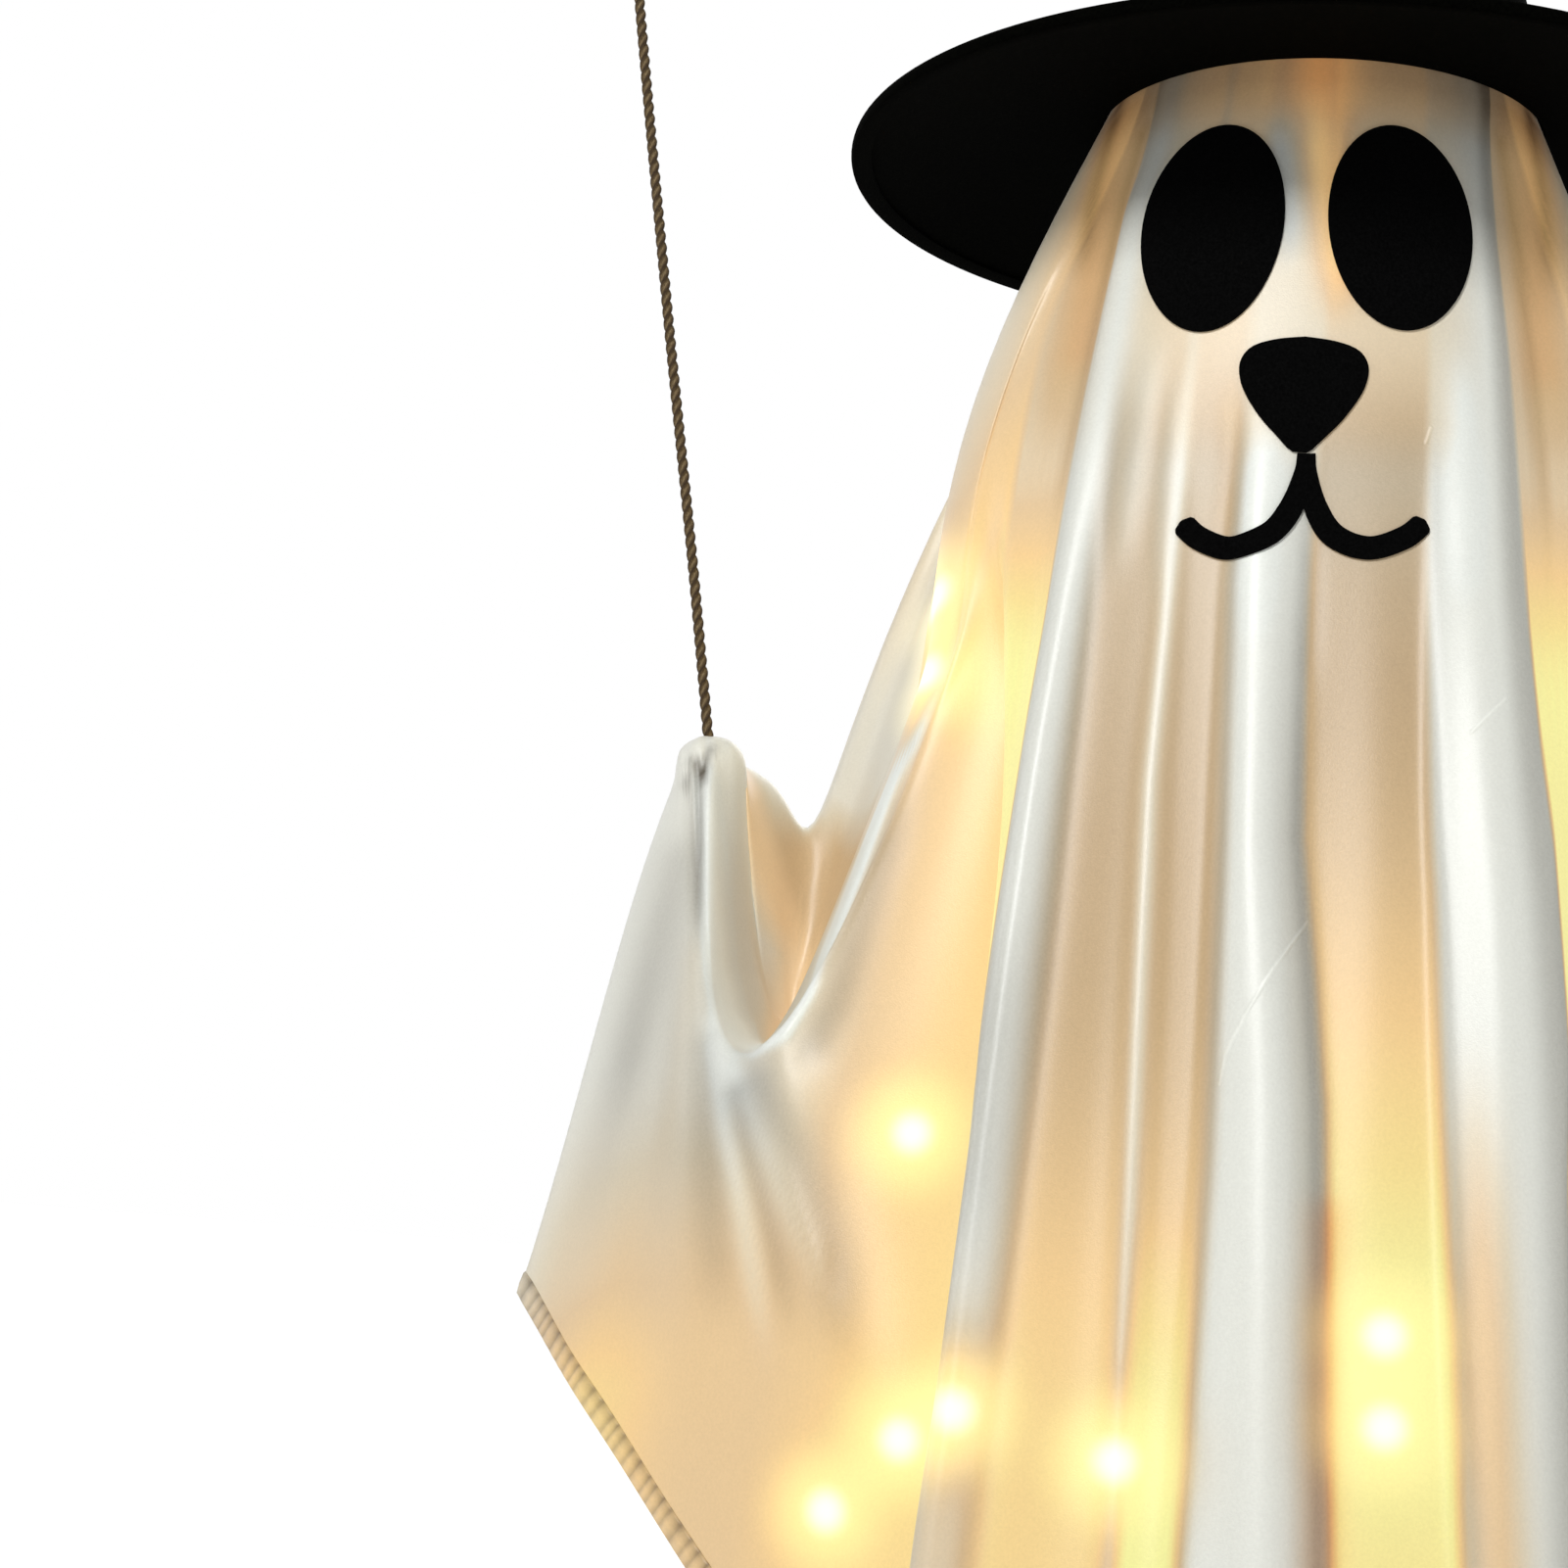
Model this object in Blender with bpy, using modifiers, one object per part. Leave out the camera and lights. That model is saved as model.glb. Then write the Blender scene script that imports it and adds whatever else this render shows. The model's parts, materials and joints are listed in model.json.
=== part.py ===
"""Ghost dog decoration: a white satin sheet with a felt dog face, draped over a globe head
on a wire stand, with a wide black hat, two raised hands on twine and a string of lamps inside.

Blender 4.5, metres, +Z up. The front faces -Y and the origin is on the floor under the head.
"""
import math

import bmesh
import bpy
from mathutils import Matrix, Vector

# Driving sizes
FIT = 0.0003                 # gap between pieces that touch
HEAD_RADIUS = 0.089
HEAD_HEIGHT = 0.705          # centre of the head
HEAD_WALL = 0.0018
NECK_RADIUS = 0.0295
NECK_LENGTH = 0.016
CLOTH = 0.0015               # sheet with its nap, as one thickness
HEM_HEIGHT = 0.012           # clearance of the hem over the floor

BRIM_RADIUS = 0.198
BRIM_DROOP = 0.020
BRIM_THICKNESS = 0.0026
BRIM_LEVEL = 0.7212          # brim's upper face at the head opening
BINDING_WIDTH = 0.007
BINDING_THICKNESS = 0.0012
CROWN_HEIGHT = 0.320
CROWN_BASE_RADIUS = 0.0975
CROWN_WALL = 0.0022
BAND_HEIGHT = 0.030
BAND_THICKNESS = 0.0012

STAND_RADIUS = 0.178         # wire legs at the floor
STAND_TOP_RADIUS = 0.039     # wire legs at the hub
HOOP_HEIGHT = 0.004
HOOP_WIDTH = 0.008
LEG_COUNT = 4
LEG_RADIUS = 0.002
RING_WIRE_RADIUS = 0.0016
MIDDLE_RING_HEIGHT = 0.200
UPPER_RING_HEIGHT = 0.400
RING_STEPS = 32              # a multiple of 8, so that a corner of each ring meets each leg
HUB_RADIUS = 0.046
HUB_BORE = 0.019
HUB_FLANGE = 0.006

BEAD_RADIUS = 0.0115
HAND = Vector((-0.2415, 0.0, 0.4330))
GATHER = 0.0024              # slack of the gathered cloth over the bead
TWINE_RADIUS = 0.0024
KNOT_RADIUS = 0.0062
LOOP_LENGTH = 0.036

FELT = 0.0010
FELT_LIFT = 0.0005
EYE_HALF_WIDTH = 0.0282
EYE_HALF_HEIGHT = 0.0430
FACE_MIDDLE = -0.0026        # middle of the nose and mouth
EYE_MIDDLE = -0.0043
EYE_SPACING = 0.0369
EYE_HEIGHT = 0.6490
EYE_SLANT = 0.20

LEAD_RADIUS = 0.0009
LAMP_RADIUS = 0.0026
LAMP_LENGTH = 0.0036
LAMP_SIDE = 0.866            # the faceted lamp's reach, as a share of its radius

CELL_RADIUS = 0.0070
CELL_LENGTH = 0.0500
CELL_COUNT = 3
CASE_WALL = 0.0016
SWITCH_BAY = 0.0145
SWITCH_TRAVEL = 0.004
LID_THICKNESS = 0.0016

# Columns and rows of the draped sheet
PANEL_COLUMNS = 9            # on each half of the front or back panel
PLEAT_COLUMNS = 2
SIDE_COLUMNS = 11
ROWS_HEAD = 3
ROWS_SLOPE = 4
ROWS_CREST = 3
ROWS_HANG = 6

PI = math.pi


def clear_scene():
    for old in list(bpy.data.objects):
        bpy.data.objects.remove(old, do_unlink=True)
    for group in list(bpy.data.collections):
        bpy.data.collections.remove(group)


clear_scene()
decoration = bpy.data.collections.new("ghost_dog_decoration")
cutters = bpy.data.collections.new("cutters")
bpy.context.scene.collection.children.link(decoration)
bpy.context.scene.collection.children.link(cutters)


def material(name, colour, roughness, metallic=0.0):
    made = bpy.data.materials.new(name)
    made.use_nodes = True
    shader = made.node_tree.nodes["Principled BSDF"]
    shader.inputs["Base Color"].default_value = (*colour, 1.0)
    shader.inputs["Roughness"].default_value = roughness
    shader.inputs["Metallic"].default_value = metallic
    return made


SATIN = material("white_satin", (0.90, 0.88, 0.82), 0.45)
BLACK_FELT = material("black_felt", (0.010, 0.010, 0.010), 0.95)
HAT_FELT = material("hat_felt", (0.012, 0.012, 0.012), 0.90)
RIBBON = material("hat_ribbon", (0.035, 0.040, 0.032), 0.55)
JUTE = material("jute_twine", (0.16, 0.11, 0.05), 0.90)
STEEL = material("coated_wire", (0.72, 0.72, 0.70), 0.35, 0.9)
GLOBE = material("milky_plastic", (0.92, 0.90, 0.84), 0.35)
HUB_PLASTIC = material("hub_plastic", (0.75, 0.75, 0.73), 0.45)
WOOD = material("beech_bead", (0.62, 0.44, 0.26), 0.60)
LEAD = material("lamp_lead", (0.60, 0.42, 0.20), 0.40, 0.8)
LAMP = material("warm_lamp", (1.0, 0.80, 0.42), 0.20)
CASE_PLASTIC = material("case_plastic", (0.80, 0.80, 0.78), 0.45)
CELL = material("cell_sleeve", (0.35, 0.36, 0.38), 0.40)
SLIDER = material("slider_plastic", (0.05, 0.05, 0.05), 0.50)


def add_object(name, data, finish, group=decoration):
    made = bpy.data.objects.new(name, data)
    group.objects.link(made)
    made.data.materials.clear()
    made.data.materials.append(finish)
    return made


def mesh_object(name, points, faces, finish):
    data = bpy.data.meshes.new(name)
    data.from_pydata([tuple(p) for p in points], [], faces)
    data.update()
    return add_object(name, data, finish)


def bmesh_object(name, shape, finish, group=decoration):
    data = bpy.data.meshes.new(name)
    shape.to_mesh(data)
    shape.free()
    return add_object(name, data, finish, group)


def turned(name, profile, finish, steps):
    """Turn a closed profile of (radius, height), listed clockwise from its outer top."""
    shape = bmesh.new()
    ring = [shape.verts.new((radius, 0.0, height)) for radius, height in profile]
    for a, b in zip(ring, ring[1:]):
        shape.edges.new((a, b))
    if profile[0][0] > 0.0 or profile[-1][0] > 0.0:
        shape.edges.new((ring[-1], ring[0]))
    part = bmesh_object(name, shape, finish)
    screw = part.modifiers.new("Turn", "SCREW")
    screw.steps = steps
    screw.render_steps = steps
    screw.use_merge_vertices = True
    screw.merge_threshold = 0.00005
    screw.use_smooth_shade = True
    return part


def tube(name, points, radius, finish, closed=False, roundness=2):
    curve = bpy.data.curves.new(name, "CURVE")
    curve.dimensions = "3D"
    curve.bevel_depth = radius
    curve.bevel_resolution = roundness
    curve.resolution_u = 1
    curve.use_fill_caps = True
    line = curve.splines.new("POLY")
    line.points.add(len(points) - 1)
    for spot, place in zip(line.points, points):
        spot.co = (*place, 1.0)
    line.use_cyclic_u = closed
    return add_object(name, curve, finish)


def box(name, low, high, finish, group=decoration):
    shape = bmesh.new()
    bmesh.ops.create_cube(shape, size=1.0)
    size = [b - a for a, b in zip(low, high)]
    centre = [(a + b) / 2 for a, b in zip(low, high)]
    bmesh.ops.scale(shape, vec=size, verts=shape.verts)
    bmesh.ops.translate(shape, vec=centre, verts=shape.verts)
    return bmesh_object(name, shape, finish, group)


def rod(name, start, axis, radius, length, finish, sides=16, group=decoration):
    shape = bmesh.new()
    bmesh.ops.create_cone(shape, cap_ends=True, segments=sides, radius1=radius, radius2=radius, depth=length)
    turn = Vector((0, 0, 1)).rotation_difference(Vector(axis)).to_matrix().to_4x4()
    middle = Vector(start) + Vector(axis).normalized() * length / 2
    bmesh.ops.transform(shape, matrix=Matrix.Translation(middle) @ turn, verts=shape.verts)
    return bmesh_object(name, shape, finish, group)


def cut(part, cutter, operation="DIFFERENCE"):
    cutter.hide_render = True
    cutter.display_type = "WIRE"
    boolean = part.modifiers.new("Cut_" + cutter.name, "BOOLEAN")
    boolean.operation = operation
    boolean.object = cutter
    boolean.solver = "EXACT"


def bevel(part, width, segments=2):
    edge = part.modifiers.new("Bevel", "BEVEL")
    edge.width = width
    edge.segments = segments
    edge.limit_method = "ANGLE"
    edge.angle_limit = math.radians(40)


def blend(a, b, t):
    return a + (b - a) * t


def ease(t):
    t = min(max(t, 0.0), 1.0)
    return t * t * (3 - 2 * t)


def bump(t, middle, width):
    return math.exp(-((t - middle) / width) ** 2)


def bezier(points, t):
    while len(points) > 1:
        points = [blend(a, b, t) for a, b in zip(points, points[1:])]
    return points[0]


def hermite(start, leave, end, arrive, t):
    return (start * (2 * t**3 - 3 * t**2 + 1) + leave * (t**3 - 2 * t**2 + t)
            + end * (3 * t**2 - 2 * t**3) + arrive * (t**3 - t**2))


def route_point(points, share):
    """The place at a share of the way along a smooth curve through the points."""
    spans = len(points) - 1
    i = min(int(share * spans), spans - 1)
    before = points[max(i - 1, 0)]
    after = points[min(i + 2, spans)]
    leave = (points[i + 1] - before) * 0.5
    arrive = (after - points[i]) * 0.5
    return hermite(points[i], leave, points[i + 1], arrive, share * spans - i)


def smooth_route(points, steps):
    """Points along a smooth curve that passes through every given point."""
    count = (len(points) - 1) * steps
    return [route_point(points, k / count) for k in range(count + 1)]


# The sheet: places that it is hung from or falls to, for the left half.
# The front half uses y as written, and the back half has its own rail.
HEAD_CENTRE = Vector((0.0, 0.0, HEAD_HEIGHT))
LEAVE_HEAD = math.radians(86)            # from the pole, where cloth leaves the head
HEAD_STEP = LEAVE_HEAD / (ROWS_HEAD + 1)
# The flat facets between two rows stay clear of the round head
SHEET_RADIUS = (HEAD_RADIUS + 2 * FIT) / math.cos(HEAD_STEP / 2) + CLOTH * 0.62
PANEL_AZIMUTH = math.radians(47)         # edge of the front panel on the head
PANEL_DEPTH_TOP = 0.0912
PANEL_DEPTH_HEM = 0.197
PANEL_HALF_TOP = 0.0671
PANEL_HALF_HEM = 0.124
FRONT_RAIL = [Vector((-0.0875, -0.045, 0.645)), Vector((-0.1370, -0.080, 0.460)),
              Vector((-0.2050, -0.100, 0.145)), Vector((-0.2390, -0.020, 0.413))]
BACK_RAIL = [Vector((-0.1030, 0.030, 0.7130)), Vector((-0.1320, 0.045, 0.6600)), Vector((-0.1545, 0.050, 0.5890)),
             Vector((-0.1745, 0.052, 0.5170)), Vector((-0.1910, 0.050, 0.4600)), Vector((-0.2040, 0.045, 0.4160)),
             Vector((-0.2230, 0.026, 0.4330)), Vector((-0.2340, 0.012, 0.4400))]
FRONT_HEM = [Vector((-0.1180, -0.140, 0.018)), Vector((-0.1820, -0.098, 0.084)),
             Vector((-0.2460, -0.060, 0.150)), Vector((-0.3080, 0.000, 0.212))]
TROUGH_FLOOR = Vector((-0.2040, 0.010, 0.300))
HAND_REACH = BEAD_RADIUS + FIT + CLOTH / 2 + GATHER
DOME_STEP = math.radians(44)             # between neighbouring rows or columns on the bead
COLUMN_CROWDING = 0.75                   # below 1 the side's columns stand closer towards the hand
CROWN_OF_HAND = HAND + Vector((-0.0015, 0.0, HAND_REACH))
HEAD_TOP = HEAD_CENTRE.z + SHEET_RADIUS * math.cos(LEAVE_HEAD)


def on_head(azimuth, polar):
    """A point of the sheet on the head; azimuth 0 is the front and 90 degrees the left side."""
    ring = SHEET_RADIUS * math.sin(polar)
    return HEAD_CENTRE + Vector((-ring * math.sin(azimuth), -ring * math.cos(azimuth),
                                 SHEET_RADIUS * math.cos(polar)))


def panel_folds(across, fall, back):
    """Depth of the pleats, towards the viewer, at a place across the panel from -1 to 1."""
    if back:
        ridges = [(-0.86, 0.16), (-0.36, 0.13), (0.10, 0.14), (0.55, 0.13), (0.92, 0.12)]
    else:
        ridges = [(-0.93, 0.13), (-0.42, 0.10), (-0.10, 0.11), (0.40, 0.22), (0.78, 0.11)]
    height = sum(bump(across, middle, width) for middle, width in ridges)
    return (0.0155 * height - 0.006) * ease((fall - 0.16) / 0.75)


def panel_point(side, share, fall, back):
    """A point of the front or back panel: share runs 0 to 1 from its middle to its edge."""
    height = blend(HEAD_TOP, HEM_HEIGHT, fall)
    drop = HEAD_TOP - height
    half = blend(PANEL_HALF_TOP, PANEL_HALF_HEM, fall) + 0.020 * ease(drop / 0.10) * (1 - 0.8 * fall)
    depth = blend(PANEL_DEPTH_TOP, PANEL_DEPTH_HEM, fall) - 0.016 * math.sin(PI * min(fall, 1.0)) * (1 - fall)
    turn = blend(math.radians(58), math.radians(24), ease(fall / 0.7))
    edge_depth = blend(0.0616, 0.176, fall**0.85)
    bow = (1 - math.cos(share * turn)) / (1 - math.cos(turn))
    x = half * math.sin(share * turn) / math.sin(turn)
    y = blend(depth, edge_depth, bow) + panel_folds(side * share, fall, back)
    return Vector((side * x, y if back else -y, height))


def over_hand(place, rows_off, columns_off, sign):
    """Rows and columns next to the top of the hand lie on the bead as a dome, and none goes inside it."""
    steps = math.hypot(rows_off, columns_off)
    if steps < 2.3:
        tilt = min(steps * DOME_STEP, math.radians(96))
        around = math.atan2(columns_off * sign, -rows_off)
        ring = math.sin(tilt)
        onto = HAND + HAND_REACH * Vector((ring * math.cos(around), ring * math.sin(around), math.cos(tilt)))
        place = blend(place, onto, 1.0 if steps < 1.5 else 0.75)
    away = place - HAND
    if away.length < HAND_REACH:
        return HAND + away.normalized() * HAND_REACH
    return place


def side_column(share, back, fall_rows):
    """One column of the left side: share runs 0 to 1 from the panel's pleat to the hand."""
    sign = 1.0 if back else -1.0
    azimuth = blend(PANEL_AZIMUTH + math.radians(5), PI / 2, share)
    if back:
        azimuth = PI - azimuth
    top = on_head(azimuth, LEAVE_HEAD)
    along = min(share / 0.93, 1.0)
    crest = route_point(BACK_RAIL, along) if back else bezier(FRONT_RAIL, along)
    crest = blend(crest, CROWN_OF_HAND, ease((share - 0.86) / 0.14))
    hem = bezier(FRONT_HEM, share)
    hem = Vector((hem.x, -hem.y * sign, hem.z)) if back else hem
    middle = (top + crest) / 2
    trough = blend(middle, TROUGH_FLOOR, 0.92 * ease((share - 0.26) / 0.48)**(2.0 if back else 1.0))
    fold = ease((share - 0.10) / 0.35)
    out = Vector((-0.25, sign, 0.0)).normalized()
    tip = ease((share - 0.88) / 0.12)
    out = blend(out, Vector((-1.0, 0.0, 0.0)), tip).normalized()
    fall = (hem - crest).normalized()
    down = Vector((-0.10, 0.02 * sign, -1.0)).normalized()
    reach_top = (trough - top).length
    reach_low = (hem - crest).length
    leave_top = blend((trough - top), down * reach_top, 0.5 * fold)
    at_trough = blend((crest - top) * 0.3, blend(out, (crest - trough).normalized(), 0.5) * 0.09, fold)
    at_crest = blend(fall * min(0.06, 1.2 * (crest - trough).length), out * 0.045, fold)
    points = []
    for k in range(ROWS_SLOPE):
        points.append(hermite(top, leave_top, trough, at_trough, k / ROWS_SLOPE))
    for k in range(ROWS_CREST):
        points.append(hermite(trough, at_trough, crest, at_crest, (k / ROWS_CREST)**0.7))
    start = blend(fall * 0.09, out * 0.068, fold)
    arrive = fall * reach_low
    for fall_share in fall_rows:
        points.append(hermite(crest, start, hem, arrive, fall_share))
    columns_off = SIDE_COLUMNS * (1 - share**(1 / COLUMN_CROWDING))
    for row, place in enumerate(points):
        rows_off = row - (ROWS_SLOPE + ROWS_CREST)
        points[row] = over_hand(place, rows_off, columns_off, sign)
    return azimuth, points


def ridges_from_hand(place, back):
    """Soft folds that radiate from the hand down the hanging side."""
    reach = place - HAND
    distance = math.hypot(reach.x, reach.z)
    if distance < 1e-6:
        return 0.0
    angle = math.degrees(math.atan2(reach.x, -reach.z))
    depth = sum(size * bump(angle, middle, 4.5) for middle, size in ((-6, 0.006), (6, 0.007), (21, 0.009)))
    return depth * ease((distance - 0.06) / 0.10) * ease((0.36 - distance) / 0.14)


def hang_rows():
    """Shares of the fall from crest to hem, close together at the crest."""
    return [(k / ROWS_HANG)**1.45 for k in range(ROWS_HANG + 1)]


def panel_rows():
    """Shares of the panel's fall, one for each row below the head."""
    slope = [0.10 * k / ROWS_SLOPE for k in range(ROWS_SLOPE)]
    crest = [0.10 + 0.16 * k / ROWS_CREST for k in range(ROWS_CREST)]
    hang = [0.26 + 0.74 * k / ROWS_HANG for k in range(ROWS_HANG + 1)]
    return slope + crest + hang


def panel_column(side, share, back):
    azimuth = PANEL_AZIMUTH * share
    if back:
        azimuth = PI - azimuth
    return azimuth * -side, [panel_point(side, share, fall, back) for fall in panel_rows()]


def pleat_column(side, share, back):
    """The cloth that turns back under the panel's edge to join the side."""
    _, panel = panel_column(side, 1.0, back)
    azimuth, edge = side_column(0.0, back, hang_rows())
    edge = [Vector((-side * p.x, p.y, p.z)) for p in edge]
    tuck = 0.010
    points = []
    for row, (a, b) in enumerate(zip(panel, edge)):
        place = blend(a, b, share)
        depth = tuck * math.sin(PI * share) * ease(row / 6)
        points.append(place + Vector((-side * depth, 0.0, 0.0)))
    base = PI - PANEL_AZIMUTH if back else PANEL_AZIMUTH
    return blend(base, azimuth, share) * -side, points


def sheet_columns():
    """All columns in order round the head: front, left side, back, right side."""
    halves = []
    for side in (-1, 1):
        half = []
        for k in range(PANEL_COLUMNS + 1):
            half.append(panel_column(side, k / PANEL_COLUMNS, False))
        for k in range(1, PLEAT_COLUMNS + 1):
            half.append(pleat_column(side, k / (PLEAT_COLUMNS + 1), False))
        for back in (False, True):
            order = range(SIDE_COLUMNS + 1) if not back else range(SIDE_COLUMNS - 1, -1, -1)
            for k in order:
                azimuth, points = side_column((k / SIDE_COLUMNS)**COLUMN_CROWDING, back, hang_rows())
                sign = 1.0 if back else -1.0
                moved = []
                for p in points:
                    moved.append(Vector((-side * p.x, p.y + sign * ridges_from_hand(p, back), p.z)))
                half.append((azimuth * -side, moved))
        for k in range(PLEAT_COLUMNS, 0, -1):
            half.append(pleat_column(side, k / (PLEAT_COLUMNS + 1), True))
        for k in range(PANEL_COLUMNS, -1, -1):
            half.append(panel_column(side, k / PANEL_COLUMNS, True))
        halves.append(half)
    left, right = halves
    return left + right[-2:0:-1]


def make_sheet():
    columns = sheet_columns()
    points = [HEAD_CENTRE + Vector((0, 0, SHEET_RADIUS))]
    for azimuth, falling in columns:
        for k in range(ROWS_HEAD):
            points.append(on_head(azimuth, HEAD_STEP * (k + 1)))
        points.extend(falling)
    rows = ROWS_HEAD + len(columns[0][1])
    count = len(columns)
    faces = []
    for c in range(count):
        here = 1 + c * rows
        there = 1 + ((c + 1) % count) * rows
        faces.append((0, here, there))
        for r in range(rows - 1):
            faces.append((here + r, here + r + 1, there + r + 1, there + r))
    part = mesh_object("sheet", points, faces, SATIN)
    part.data.shade_smooth()
    wall = part.modifiers.new("Cloth", "SOLIDIFY")
    wall.thickness = CLOTH
    wall.offset = 0.0
    return part


sheet = make_sheet()


# Felt face: flat shapes laid on the front of the sheet
def lay_on_sheet(part):
    wrap = part.modifiers.new("Lay", "SHRINKWRAP")
    wrap.target = sheet
    wrap.wrap_method = "PROJECT"
    wrap.wrap_mode = "ABOVE_SURFACE"
    wrap.use_project_y = True
    wrap.use_positive_direction = True
    wrap.use_negative_direction = False
    wrap.offset = FELT_LIFT
    thick = part.modifiers.new("Felt", "SOLIDIFY")
    thick.thickness = FELT
    thick.offset = 1.0
    return part


def felt_patch(name, outline, centre, rings):
    """A filled outline as rings round its centre, so that it can follow the cloth."""
    front = -0.30
    points = [Vector((centre[0], front, centre[1]))]
    count = len(outline)
    for ring in range(1, rings + 1):
        for x, z in outline:
            points.append(Vector((blend(centre[0], x, ring / rings), front, blend(centre[1], z, ring / rings))))
    faces = []
    for k in range(count):
        after = (k + 1) % count
        faces.append((0, 1 + k, 1 + after))
        for ring in range(rings - 1):
            a = 1 + ring * count
            faces.append((a + k, a + count + k, a + count + after, a + after))
    return lay_on_sheet(mesh_object(name, points, faces, BLACK_FELT))


def eye_outline(side):
    outline = []
    for k in range(18):
        angle = 2 * PI * k / 18
        across = EYE_HALF_WIDTH * math.sin(angle)
        up = EYE_HALF_HEIGHT * math.cos(angle) - EYE_SLANT * across
        outline.append((EYE_MIDDLE + side * (EYE_SPACING + across), EYE_HEIGHT + up))
    return outline[::-1] if side > 0 else outline


for eye_name, eye_side in (("eye_left", -1), ("eye_right", 1)):
    felt_patch(eye_name, eye_outline(eye_side), (EYE_MIDDLE + eye_side * EYE_SPACING, EYE_HEIGHT), 3)

# Half outlines, measured from the middle of the face
NOSE_HALF = [(0.0, 0.6012), (0.0165, 0.6008), (0.0258, 0.5890), (0.0215, 0.5745), (0.0108, 0.5605), (0.0042, 0.5530)]
NOSE_MIDDLE_HEIGHT = 0.5830
MOUTH_LINE = [(0.0000, 0.5522), (0.0008, 0.5445), (0.0048, 0.5300), (0.0125, 0.5188), (0.0255, 0.5140),
              (0.0385, 0.5185), (0.0462, 0.5255)]
MOUTH_HALF_WIDTH = 0.0046
STEM_POINTS = 3              # stretch of the mouth's line whose inner edge is on the middle


def nose_outline():
    right = smooth_route([Vector((x, 0, z)) for x, z in NOSE_HALF], 2)
    left = [Vector((-p.x, 0, p.z)) for p in right[:0:-1]]
    return [(FACE_MIDDLE + p.x, p.z) for p in (right + left)[::-1]]


felt_patch("nose", nose_outline(), (FACE_MIDDLE, NOSE_MIDDLE_HEIGHT), 3)


def make_mouth():
    """Two hooks that share a stem: the right one is a strip along its line, and the left mirrors it."""
    line = smooth_route([Vector((x, 0, z)) for x, z in MOUTH_LINE], 2)
    last = len(line) - 1
    points = []
    for k, place in enumerate(line):
        ahead = line[min(k + 1, last)] - line[max(k - 1, 0)]
        across = Vector((-ahead.z, 0, ahead.x)).normalized()
        width = MOUTH_HALF_WIDTH * (0.6 if k == last else 1.0)
        outer = place + across * width
        inner = place - across * width
        if k < STEM_POINTS or inner.x < 0.0:
            inner.x = 0.0
        for spot in (outer, (outer + inner) / 2, inner):
            points.append(Vector((spot.x, -0.30, spot.z)))
    faces = []
    for k in range(last):
        for strip in (0, 1):
            a = 3 * k + strip
            faces.append((a, a + 1, a + 4, a + 3))
    part = mesh_object("mouth", points, faces, BLACK_FELT)
    mirror = part.modifiers.new("Other_side", "MIRROR")
    mirror.merge_threshold = 0.00005
    part.location.x = FACE_MIDDLE
    return lay_on_sheet(part)


make_mouth()


# The hat: turned felt brim and crown, a bound edge and a ribbon
OPENING_RADIUS = SHEET_RADIUS + CLOTH + 0.0008
BRIM_EDGE_LEVEL = BRIM_LEVEL - BRIM_DROOP


def brim_height(radius):
    """Height of the brim's upper face: level at the head, then drooping to its edge."""
    share = (radius - OPENING_RADIUS) / (BRIM_RADIUS - OPENING_RADIUS)
    return BRIM_LEVEL - BRIM_DROOP * share**1.3


def make_brim():
    radii = [blend(BRIM_RADIUS, OPENING_RADIUS, k / 3) for k in range(4)]
    upper = [(r, brim_height(r)) for r in radii]
    lower = [(r, brim_height(r) - BRIM_THICKNESS) for r in reversed(radii)]
    profile = upper[::-1] + lower[::-1]
    return turned("hat_brim", profile, HAT_FELT, 36)


def make_binding():
    inner = BRIM_RADIUS - BINDING_WIDTH
    gap = FIT + 0.0002
    wrap = BINDING_THICKNESS
    top_in = brim_height(inner) + gap
    top_out = brim_height(BRIM_RADIUS) + gap
    low_in = brim_height(inner) - BRIM_THICKNESS - gap
    low_out = brim_height(BRIM_RADIUS) - BRIM_THICKNESS - gap
    profile = [(inner, top_in + wrap), (BRIM_RADIUS + gap, top_out + wrap),
               (BRIM_RADIUS + gap + wrap, (top_out + low_out) / 2),
               (BRIM_RADIUS + gap, low_out - wrap), (inner, low_in - wrap), (inner, low_in),
               (BRIM_RADIUS + gap, low_out), (BRIM_RADIUS + gap, top_out), (inner, top_in)]
    return turned("brim_binding", profile, HAT_FELT, 36)


CROWN_FOOT = BRIM_LEVEL + FIT
# Outline of the crown: share of its height, and radius there as a share of its foot's
CROWN_SHAPE = [(0.0, 1.0), (0.05, 0.965), (0.10, 0.930), (0.26, 0.780), (0.46, 0.545), (0.70, 0.305),
               (0.95, 0.105), (0.992, 0.055)]


def make_crown():
    """A tall cone with a softly rounded tip and an open foot."""
    outer = [(CROWN_BASE_RADIUS * wide, CROWN_FOOT + CROWN_HEIGHT * share) for share, wide in CROWN_SHAPE]
    outer.append((0.0, CROWN_FOOT + CROWN_HEIGHT))
    inner = []
    for radius, height in outer[:-2]:
        inner.append((radius - CROWN_WALL * 1.12, max(height - CROWN_WALL * 0.35, CROWN_FOOT)))
    inner.append((0.0, outer[-1][1] - CROWN_WALL * 2))
    return turned("hat_crown", outer[::-1] + inner, HAT_FELT, 24)


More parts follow.
